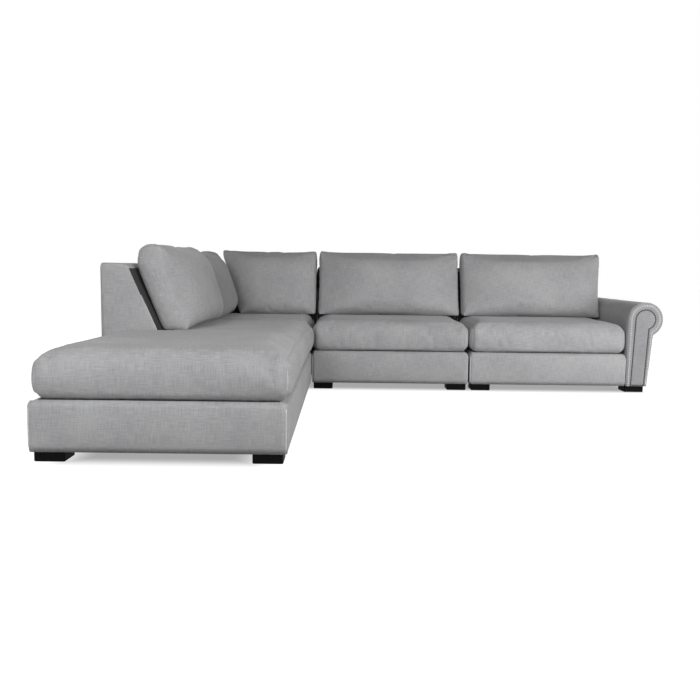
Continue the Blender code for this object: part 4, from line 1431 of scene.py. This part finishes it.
@dataclass
class RolledArm:
    """The rolled arm at the right end: padded body, pleated front border, keyhole panel and nailheads."""

    inner: float = part_box("right_arm_cover")[0].x
    front: float = part_box("right_arm_front_panel")[0].y + 3 * MM
    panel_back: float = part_box("right_arm_front_panel")[1].y
    roll_radius: float = 0.108
    roll_height: float = 0.462
    neck: float = 0.158
    foot_width: float = 0.130
    keyhole_radius: float = 0.0615
    keyhole_inner: float = 0.030
    keyhole_outer: float = 0.112
    keyhole_neck: float = 0.130
    keyhole_foot: float = 6 * MM
    leg_steps: int = 26
    arc_steps: int = 60
    foot_steps: int = 8
    rear_radius: float = 12 * MM
    rear_gap: float = 0.2 * MM
    body_inset: float = 0.6 * MM
    body_rings: int = 26
    ripple: float = 0.6 * MM
    ripple_size: float = 0.15
    ripple_seed: float = 4.4
    ripple_level: float = 0.6
    inner_share: float = 0.3
    pad: float = 5 * MM
    pad_power: float = 0.7
    pad_rings: int = 11
    pleat: float = 0.9 * MM
    pleat_pitch: float = 15 * MM
    roll_sweep: float = 4.3
    leg_fade: float = 0.25
    roll_fade: float = 6
    field_depth: float = 1.5 * MM
    field_dome: tuple[tuple[float, float], ...] = (
        (0.0, 0.0), (1.5 * MM, 2.5 * MM), (4 * MM, 3.5 * MM), (9 * MM, 4.2 * MM), (16 * MM, 4.6 * MM),
        (24 * MM, 4.8 * MM),
    )
    welt: float = 2.2 * MM
    nail_sides: int = 8
    nail_height: float = 0.62
    pale_share: float = 0.42
    dark_nail: float = 6.2 * MM
    dark_pitch: float = 12.6 * MM
    pale_nail: float = 4.2 * MM
    pale_pitch: float = 15 * MM

    def outline(self, radius: float, foot_inner: float, foot_outer: float, neck: float, low: float) -> np.ndarray:
        """Return a keyhole outline in X and Z, evenly stepped in its leg, roll, second leg and foot."""
        drop = math.sqrt(radius ** 2 - (neck - self.roll_radius) ** 2)
        start, end = math.pi, math.atan2(-drop, neck - self.roll_radius)
        arc_start = np.array((self.roll_radius - radius, self.roll_height))
        arc_end = np.array((neck, self.roll_height - drop))
        first, last = np.array((foot_inner, low)), np.array((foot_outer, low))
        legs = np.linspace(0, 1, self.leg_steps, endpoint=False)[:, None]
        angles = np.linspace(start, end, self.arc_steps, endpoint=False)
        arc = np.stack([self.roll_radius + radius * np.cos(angles), self.roll_height + radius * np.sin(angles)], 1)
        feet = np.linspace(0, 1, self.foot_steps, endpoint=False)[:, None]
        return np.concatenate([
            first + (arc_start - first) * legs, arc, arc_end + (last - arc_end) * legs, last + (first - last) * feet,
        ])

    def outer(self, inset: float = 0.0) -> np.ndarray:
        """Return the arm's own outline, inset by a distance."""
        return self.outline(
            self.roll_radius - inset, inset, self.foot_width - inset, self.neck - inset, FOOT_HEIGHT + inset,
        )

    def keyhole(self, inset: float = 0.0) -> np.ndarray:
        """Return the keyhole's outline, inset by a distance."""
        return self.outline(
            self.keyhole_radius - inset, self.keyhole_inner + inset, self.keyhole_outer - inset,
            self.keyhole_neck - inset, FOOT_HEIGHT + self.keyhole_foot + inset,
        )

    def place(self, outline: np.ndarray, y: float) -> list[Point]:
        """Set an outline at a depth of the sofa."""
        return [(self.inner + x, y, z) for x, z in outline]

    def loft(self, name: str, rings: Sequence[Sequence[Point]]) -> bpy.types.Object:
        """Join rings of equal counts into a skin that is closed at both ends."""
        count = len(rings[0])
        points = [p for ring in rings for p in ring]
        faces = []
        for start in range(0, len(points) - count, count):
            for step in range(count):
                following = (step + 1) % count
                faces.append((start + step, start + following, start + count + following, start + count + step))
        faces.append(tuple(range(count)))
        faces.append(tuple(range(len(points) - count, len(points))))
        return add_piece(name, points, faces)

    def build(self, finishes: Finishes) -> None:
        """Build the arm's body, its front and its nailheads."""
        self.build_body(finishes)
        self.build_front(finishes)
        self.build_nailheads(finishes)

    def build_body(self, finishes: Finishes) -> None:
        """Build the padded body, which runs from the front panel to the rear."""
        start, radius = self.panel_back + HAIRLINE, self.rear_radius
        depths = list(np.linspace(start, REAR - radius, self.body_rings))
        rings = [self.place(self.outer(self.body_inset), y) for y in depths]
        for angle in (30, 60, 90):
            turn = math.radians(angle)
            inset = radius * (1 - math.cos(turn))
            y = REAR - radius * (1 - math.sin(turn)) - self.rear_gap
            rings.append(self.place(self.outer(inset + self.body_inset), y))
        body = self.loft("right_arm_upholstery", rings)

        def waves(point: np.ndarray, normal: np.ndarray) -> float:
            if abs(normal[1]) > 0.5 or normal[2] < -0.9:
                return 0.0
            share = 1 if point[0] > self.inner + 2 * MM else self.inner_share
            return self.ripple * (wavy(tuple(point), self.ripple_size, self.ripple_seed) - self.ripple_level) * share

        push_along_normals(body, waves)
        finish_piece(body, finishes.linen, "right_unit", replaced=["right_arm_cover"])

    def border_depth(self, share: float, number: int) -> float:
        """Return how far the padded border stands out at a share of its width and a step round it."""
        swell = math.sin(math.pi * min(1.0, share)) ** self.pad_power
        fade = self.leg_fade
        if self.leg_steps <= number < self.leg_steps + self.arc_steps:
            place = (number - self.leg_steps) / self.arc_steps
            fade = min(1.0, self.roll_fade * place, self.roll_fade * (1 - place))
        turns = self.roll_radius * self.roll_sweep / self.pleat_pitch
        wave = math.cos(math.tau * turns * (number - self.leg_steps) / self.arc_steps)
        return self.pad * swell + self.pleat * fade * swell * wave

    def border(self) -> tuple[np.ndarray, np.ndarray]:
        """Return the outer and the inner outline of the padded border."""
        return self.outer(2 * MM), self.keyhole(-2 * MM)

    def build_front(self, finishes: Finishes) -> None:
        """Build the front: the padded border, the keyhole field inside it and the welt round the edge, in a darker
        linen that is painted shade.
        """
        outer, inner = self.border()
        front = self.front + self.pad
        rings = [self.place(self.outer(0.4 * MM), y) for y in (self.panel_back, front + 3 * MM)]
        for share in np.linspace(0, 1, self.pad_rings):
            outline = outer + (inner - outer) * share
            rings.append([
                (self.inner + x, front - self.border_depth(share, number), z)
                for number, (x, z) in enumerate(outline)
            ])
        rings.append(self.place(self.keyhole(), front + self.field_depth))
        border = self.loft("right_arm_front_border", rings)
        finish_piece(border, finishes.arm_shade_linen, "right_unit", replaced=["right_arm_front_panel"])

        field = [self.place(self.keyhole(inset), front + self.field_depth - lift) for inset, lift in self.field_dome]
        panel = self.loft("right_arm_keyhole_panel", field)
        finish_piece(panel, finishes.arm_shade_linen, "right_unit")

        edge = self.place(self.outer(1.2 * MM), front + 2 * MM)
        finish_piece(tube("right_arm_welt", edge, self.welt, closed=True), finishes.arm_shade_linen, "right_unit")

    def spaced(self, outline: np.ndarray, pitch: float, closed: bool) -> list[tuple[float, float]]:
        """Return spots at an even pitch along an outline."""
        path = np.vstack([outline, outline[:1]]) if closed else outline
        runs = np.linalg.norm(np.diff(path, axis=0), axis=1)
        marks = np.concatenate([[0], np.cumsum(runs)])
        count = round(marks[-1] / pitch)
        spots = np.linspace(0, marks[-1], count, endpoint=not closed)
        return list(zip(np.interp(spots, marks, path[:, 0]), np.interp(spots, marks, path[:, 1])))

    def nail_row(self, name: str, spots: Sequence[Point], radius: float) -> bpy.types.Object:
        """Build a row of domed nailheads that face the front."""
        points, faces = [], []
        sides, height = self.nail_sides, self.nail_height * radius
        for x, y, z in spots:
            base = len(points)
            for angle in (0, 30, 60):
                turn = math.radians(angle)
                reach = radius * math.cos(turn)
                for step in range(sides):
                    around = math.tau * step / sides
                    points.append((
                        x + reach * math.cos(around), y - height * math.sin(turn), z + reach * math.sin(around),
                    ))
            points.append((x, y - height, z))
            for ring in (0, 1):
                for step in range(sides):
                    following = (step + 1) % sides
                    low, high = base + ring * sides, base + (ring + 1) * sides
                    faces.append((low + step, low + following, high + following, high + step))
            top = base + 3 * sides
            faces += [(top - sides + step, top - sides + (step + 1) % sides, top) for step in range(sides)]
            faces.append(tuple(base + step for step in reversed(range(sides))))
        return add_piece(name, points, faces)

    def build_nailheads(self, finishes: Finishes) -> None:
        """Build the dark row round the keyhole and the pale row along the middle of the border."""
        front = self.front + self.pad
        spots = [(self.inner + x, front + 0.4 * MM, z) for x, z in self.spaced(self.keyhole(), self.dark_pitch, True)]
        dark = self.nail_row("right_arm_keyhole_nailheads", spots, self.dark_nail)
        finish_piece(dark, finishes.dark_nails, "right_unit", Slot.STEEL)
        outer, inner = self.border()
        path = (outer + (inner - outer) * self.pale_share)[: 2 * self.leg_steps + self.arc_steps]
        proud = front - self.pad * math.sin(math.pi * self.pale_share) ** self.pad_power
        spots = [(self.inner + x, proud, z) for x, z in self.spaced(path, self.pale_pitch, False)]
        pale = self.nail_row("right_arm_border_nailheads", spots, self.pale_nail)
        finish_piece(pale, finishes.pale_nails, "right_unit", Slot.STEEL)


@dataclass
class Studio:
    """A plain white floor, soft lamps and a camera at the photograph's viewing angle."""

    camera_place: Point = (-0.3841, -4.575, 0.7565)
    focal_pixels: float = 812.0
    image_width: float = 700.0
    pitch: float = 0.0992
    yaw: float = 0.0042
    roll: float = 0.0122
    sky: float = 0.02
    # Glow of the floor at the heart of its painted shadow.
    shadow_core_glow: float = 0.38
    floor_reach: float = 40.0
    floor_paint: float = 0.14
    shade_inside: float = 0.10
    shade_outside: float = 0.10
    shade_margin: float = 0.13
    lamp_size: float = 1.5
    front_target: Point = (0.0, 0.3, 0.3)
    rear_target: Point = (0.0, 0.9, 0.35)
    front_lamps: tuple[tuple[str, Point, float], ...] = (
        ("left_front_softbox", (-2.2, -5.0, 2.6), 62),
        ("left_near_softbox", (-2.6, -3.2, 2.6), 8),
        ("right_low_softbox", (2.4, -1.9, 0.9), 80),
        ("row_softbox", (1.3, -1.9, 2.6), 9),
        ("left_high_softbox", (-1.6, -3.2, 3.2), 30),
        ("left_low_softbox", (-2.4, -3.6, 0.8), 18),
        ("front_low_softbox", (-0.4, -5.4, 1.3), 28),
    )
    rear_lamps: tuple[tuple[str, Point, float], ...] = (
        ("rear_left_softbox", (-4.0, 3.4, 0.8), 72),
        ("rear_right_softbox", (2.4, 5.2, 0.9), 100),
        ("far_right_softbox", (5.0, 1.6, 0.8), 34),
    )

    def build(self) -> None:
        """Build the floor, the world, the lamps and the camera."""
        self.build_floor()
        self.build_world()
        for lamps, target in ((self.front_lamps, self.front_target), (self.rear_lamps, self.rear_target)):
            for name, place, power in lamps:
                self.add_lamp(name, place, target, power)
        self.add_camera()
        bpy.context.scene.view_settings.view_transform = "Standard"

    def seen_by(self, tree: bpy.types.NodeTree, *rays: str) -> bpy.types.NodeSocket:
        """Return 1 for light paths of the named kinds, else 0."""
        path = add_node(tree, "ShaderNodeLightPath").outputs
        seen = path[rays[0]]
        for ray in rays[1:]:
            seen = math_node(tree, "MAXIMUM", seen, path[ray])
        return seen

    def build_floor(self) -> None:
        """Build the floor: white to the camera, with a painted shadow that dims its glow under and round the sofa's
        plan, over the lamps' real shade.
        """
        reach = self.floor_reach
        corners = [(-reach, -reach, 0), (reach, -reach, 0), (reach, reach, 0), (-reach, reach, 0)]
        floor = add_piece("floor", corners, [(0, 1, 2, 3)])
        material = bpy.data.materials.new("white_floor")
        material.use_nodes = True
        tree = material.node_tree
        tree.nodes.clear()
        seen = self.seen_by(tree, "Is Camera Ray", "Is Glossy Ray", "Is Transmission Ray")
        # Painted shadow: the glow falls off under and round the sofa's plan.
        outside = self.distance_to_plan(tree)
        span = {"From Min": -self.shade_inside, "From Max": self.shade_outside, "To Min": self.shadow_core_glow}
        rising = add_node(
            tree, "ShaderNodeMapRange", {"Value": outside, **span}, interpolation_type="SMOOTHSTEP",
        ).outputs["Result"]
        glow = math_node(tree, "MULTIPLY", seen, rising)
        light = add_node(tree, "ShaderNodeEmission", {"Color": (1, 1, 1, 1), "Strength": glow})
        paint = add_node(tree, "ShaderNodeBsdfDiffuse", {"Color": (*[self.floor_paint] * 3, 1)})
        both = add_node(tree, "ShaderNodeAddShader", {0: light.outputs[0], 1: paint.outputs[0]})
        add_node(tree, "ShaderNodeOutputMaterial", {"Surface": both.outputs[0]})
        floor.data.materials.append(material)
        floor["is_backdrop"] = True

    def distance_to_plan(self, tree: bpy.types.NodeTree) -> bpy.types.NodeSocket:
        """Return how far a spot on the floor lies outside the sofa's L-shaped plan, less than 0 under it."""
        spot = add_node(tree, "ShaderNodeTexCoord").outputs["Object"]
        low, high = CAD_BOUNDS
        row_front = part_box("center_base_cover")[0].y
        chaise_right = part_box("chaise_base_cover")[1].x - self.shade_margin
        left, right = low[0] + self.shade_margin, high[0] - self.shade_margin
        flat = partial(math_node, tree, kind="ShaderNodeVectorMath")
        distances = []
        for start, end in (((left, low[1]), (chaise_right, high[1])), ((left, row_front), (right, high[1]))):
            centre = tuple((a + b) / 2 for a, b in zip(start, end)) + (0,)
            half = tuple((b - a) / 2 for a, b in zip(start, end)) + (0,)
            across = flat("SUBTRACT", flat("ABSOLUTE", flat("SUBTRACT", spot, centre)), half)
            far = flat("LENGTH", flat("MAXIMUM", across, (0, 0, 0)))
            parts = add_node(tree, "ShaderNodeSeparateXYZ", {0: across}).outputs
            near = math_node(tree, "MINIMUM", math_node(tree, "MAXIMUM", parts[0], parts[1]), 0.0)
            distances.append(math_node(tree, "ADD", far, near))
        return math_node(tree, "MINIMUM", *distances)

    def build_world(self) -> None:
        """Build the world: an even soft light that shows white to the camera."""
        world = bpy.data.worlds.new("white_studio")
        bpy.context.scene.world = world
        world.use_nodes = True
        tree = world.node_tree
        tree.nodes.clear()
        seen = self.seen_by(tree, "Is Camera Ray", "Is Glossy Ray")
        strength = add_node(
            tree, "ShaderNodeMapRange", {"Value": seen, "To Min": self.sky, "To Max": 1.0},
        ).outputs["Result"]
        light = add_node(tree, "ShaderNodeBackground", {"Color": (1, 1, 1, 1), "Strength": strength})
        add_node(tree, "ShaderNodeOutputWorld", {"Surface": light.outputs[0]})

    def add_lamp(self, name: str, place: Point, target: Point, power: float) -> None:
        """Add a square soft lamp that faces a target."""
        lamp = bpy.data.lights.new(name, "AREA")
        lamp.size = self.lamp_size
        lamp.energy = power
        holder = bpy.data.objects.new(name, lamp)
        holder.location = place
        holder.rotation_euler = (Vector(target) - Vector(place)).to_track_quat("-Z", "Y").to_euler()
        bpy.context.scene.collection.objects.link(holder)

    def add_camera(self) -> None:
        """Add the camera, turned down by the pitch, aside by the yaw and about its own axis by the roll."""
        camera = bpy.data.cameras.new("camera")
        camera.sensor_width = 36.0
        camera.lens = self.focal_pixels / self.image_width * camera.sensor_width
        camera.dof.use_dof = False
        holder = bpy.data.objects.new("camera", camera)
        level = Matrix.Rotation(math.radians(90), 4, "X")
        turned = Matrix.Rotation(-self.yaw, 4, "Z") @ Matrix.Rotation(-self.pitch, 4, "X") @ level
        holder.matrix_world = Matrix.Translation(self.camera_place) @ turned @ Matrix.Rotation(self.roll, 4, "Z")
        bpy.context.scene.collection.objects.link(holder)
        bpy.context.scene.camera = holder


def make_seat_cushions(units: dict[str, Unit]) -> list[SeatCushion]:
    """Return the four seat cushions, each in the room that its neighbours leave."""
    inner_left = LEFT + BACK_SEAT_THICKNESS + HAIRLINE
    inner_rear = REAR - BACK_SEAT_THICKNESS - HAIRLINE
    chaise, corner, center, right = (units[name] for name in ("chaise", "corner", "center", "right"))
    return [
        SeatCushion(
            chaise, chaise.left + 10 * MM, chaise.right + 14 * MM, chaise.front + 4 * MM, chaise.rear,
            ("rear",), (), ("left", "right", "front"), (inner_left, SIDE_BACK_FRONT - HAIRLINE), seed=1.3,
        ),
        SeatCushion(corner, inner_left, corner.right, corner.front, inner_rear, SIDES, ("left", "rear"), (), seed=2.6),
        SeatCushion(center, center.left, center.right, center.front, inner_rear, ("rear",), ("rear",), seed=3.9),
        SeatCushion(right, right.left, right.right - 4 * MM, right.front, inner_rear, ("rear",), ("rear",), seed=5.2),
    ]


def make_back_cushions(units: dict[str, Unit]) -> list[BackCushion]:
    """Return the five back cushions, two along the side back and three along the rear."""
    gap = 3 * MM
    chaise, corner = units["chaise"], units["corner"]
    inner_rear = REAR - BACK_SEAT_THICKNESS - HAIRLINE
    first, second = SIDE_BACK_FRONT + 0.090, corner.front + gap
    cushions = [
        BackCushion(
            "chaise_padded_back_cushion", "chaise_back_cushion", "chaise_back", chaise.rear - gap - first,
            lambda along, offset, z: (LEFT + offset, first + along, z), "Y", free_start=True,
            shifts=(-9 * MM, 0.0), dip=(0.41, 6 * MM), full_end=0.5,
            top_corners=(12 * MM, 26 * MM), top_lift=4 * MM, seed=0.4,
        ),
        # The corner's side cushion takes the darker linen: painted shade in the corner.
        BackCushion(
            "corner_left_padded_back_cushion", "corner_left_back_cushion", "corner_left_back", inner_rear - second,
            lambda along, offset, z: (LEFT + offset, second + along, z), "Y", pressed_run=0.125,
            has_painted_shade=True, square_end=0.8, end_lift=7 * MM, top_lift=-14 * MM, top_corners=(0.0, 18 * MM), seed=1.9,
        ),
        BackCushion(
            "corner_rear_padded_back_cushion", "corner_rear_back_cushion", "corner_rear_back", UNIT_WIDTH - gap,
            lambda along, offset, z: (LEFT + along, REAR - offset, z), "X", lean_end=True,
            shifts=(0.0, 15 * MM), top_lift=3 * MM, seed=3.1,
        ),
    ]
    for name, seed, shifts in (("center", 4.7, (12 * MM, 18 * MM)), ("right", 5.8, (17 * MM, 1.5 * MM))):
        unit = units[name]
        cushions.append(BackCushion(
            f"{name}_padded_back_cushion", f"{name}_back_cushion", f"{name}_back", UNIT_WIDTH - 2 * gap,
            lambda along, offset, z, unit=unit: (unit.left + gap + along, REAR - offset, z), "X",
            free_end=name == "right", shifts=shifts, top_lift=4 * MM, seed=seed,
        ))
    return cushions


def main() -> None:
    """Build every piece of the sofa and the studio, in order."""
    logging.basicConfig(level=logging.INFO, format="%(name)s: %(message)s")
    finishes = Finishes()
    finishes.dress_frame()
    units = {name: unit_of(name) for name in ("chaise", "corner", "center", "right")}
    for unit in units.values():
        BaseUpholstery(unit).build(finishes)
        BackUpholstery(unit).build(finishes)
    for cushion in make_seat_cushions(units):
        cushion.build(finishes)
    for cushion in make_back_cushions(units):
        cushion.build(finishes)
    RolledArm().build(finishes)
    Studio().build()
    bounds = [[list(map(float, corner)) for corner in box] for box in (CAD_BOUNDS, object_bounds())]


if __name__ == "__main__":
    main()
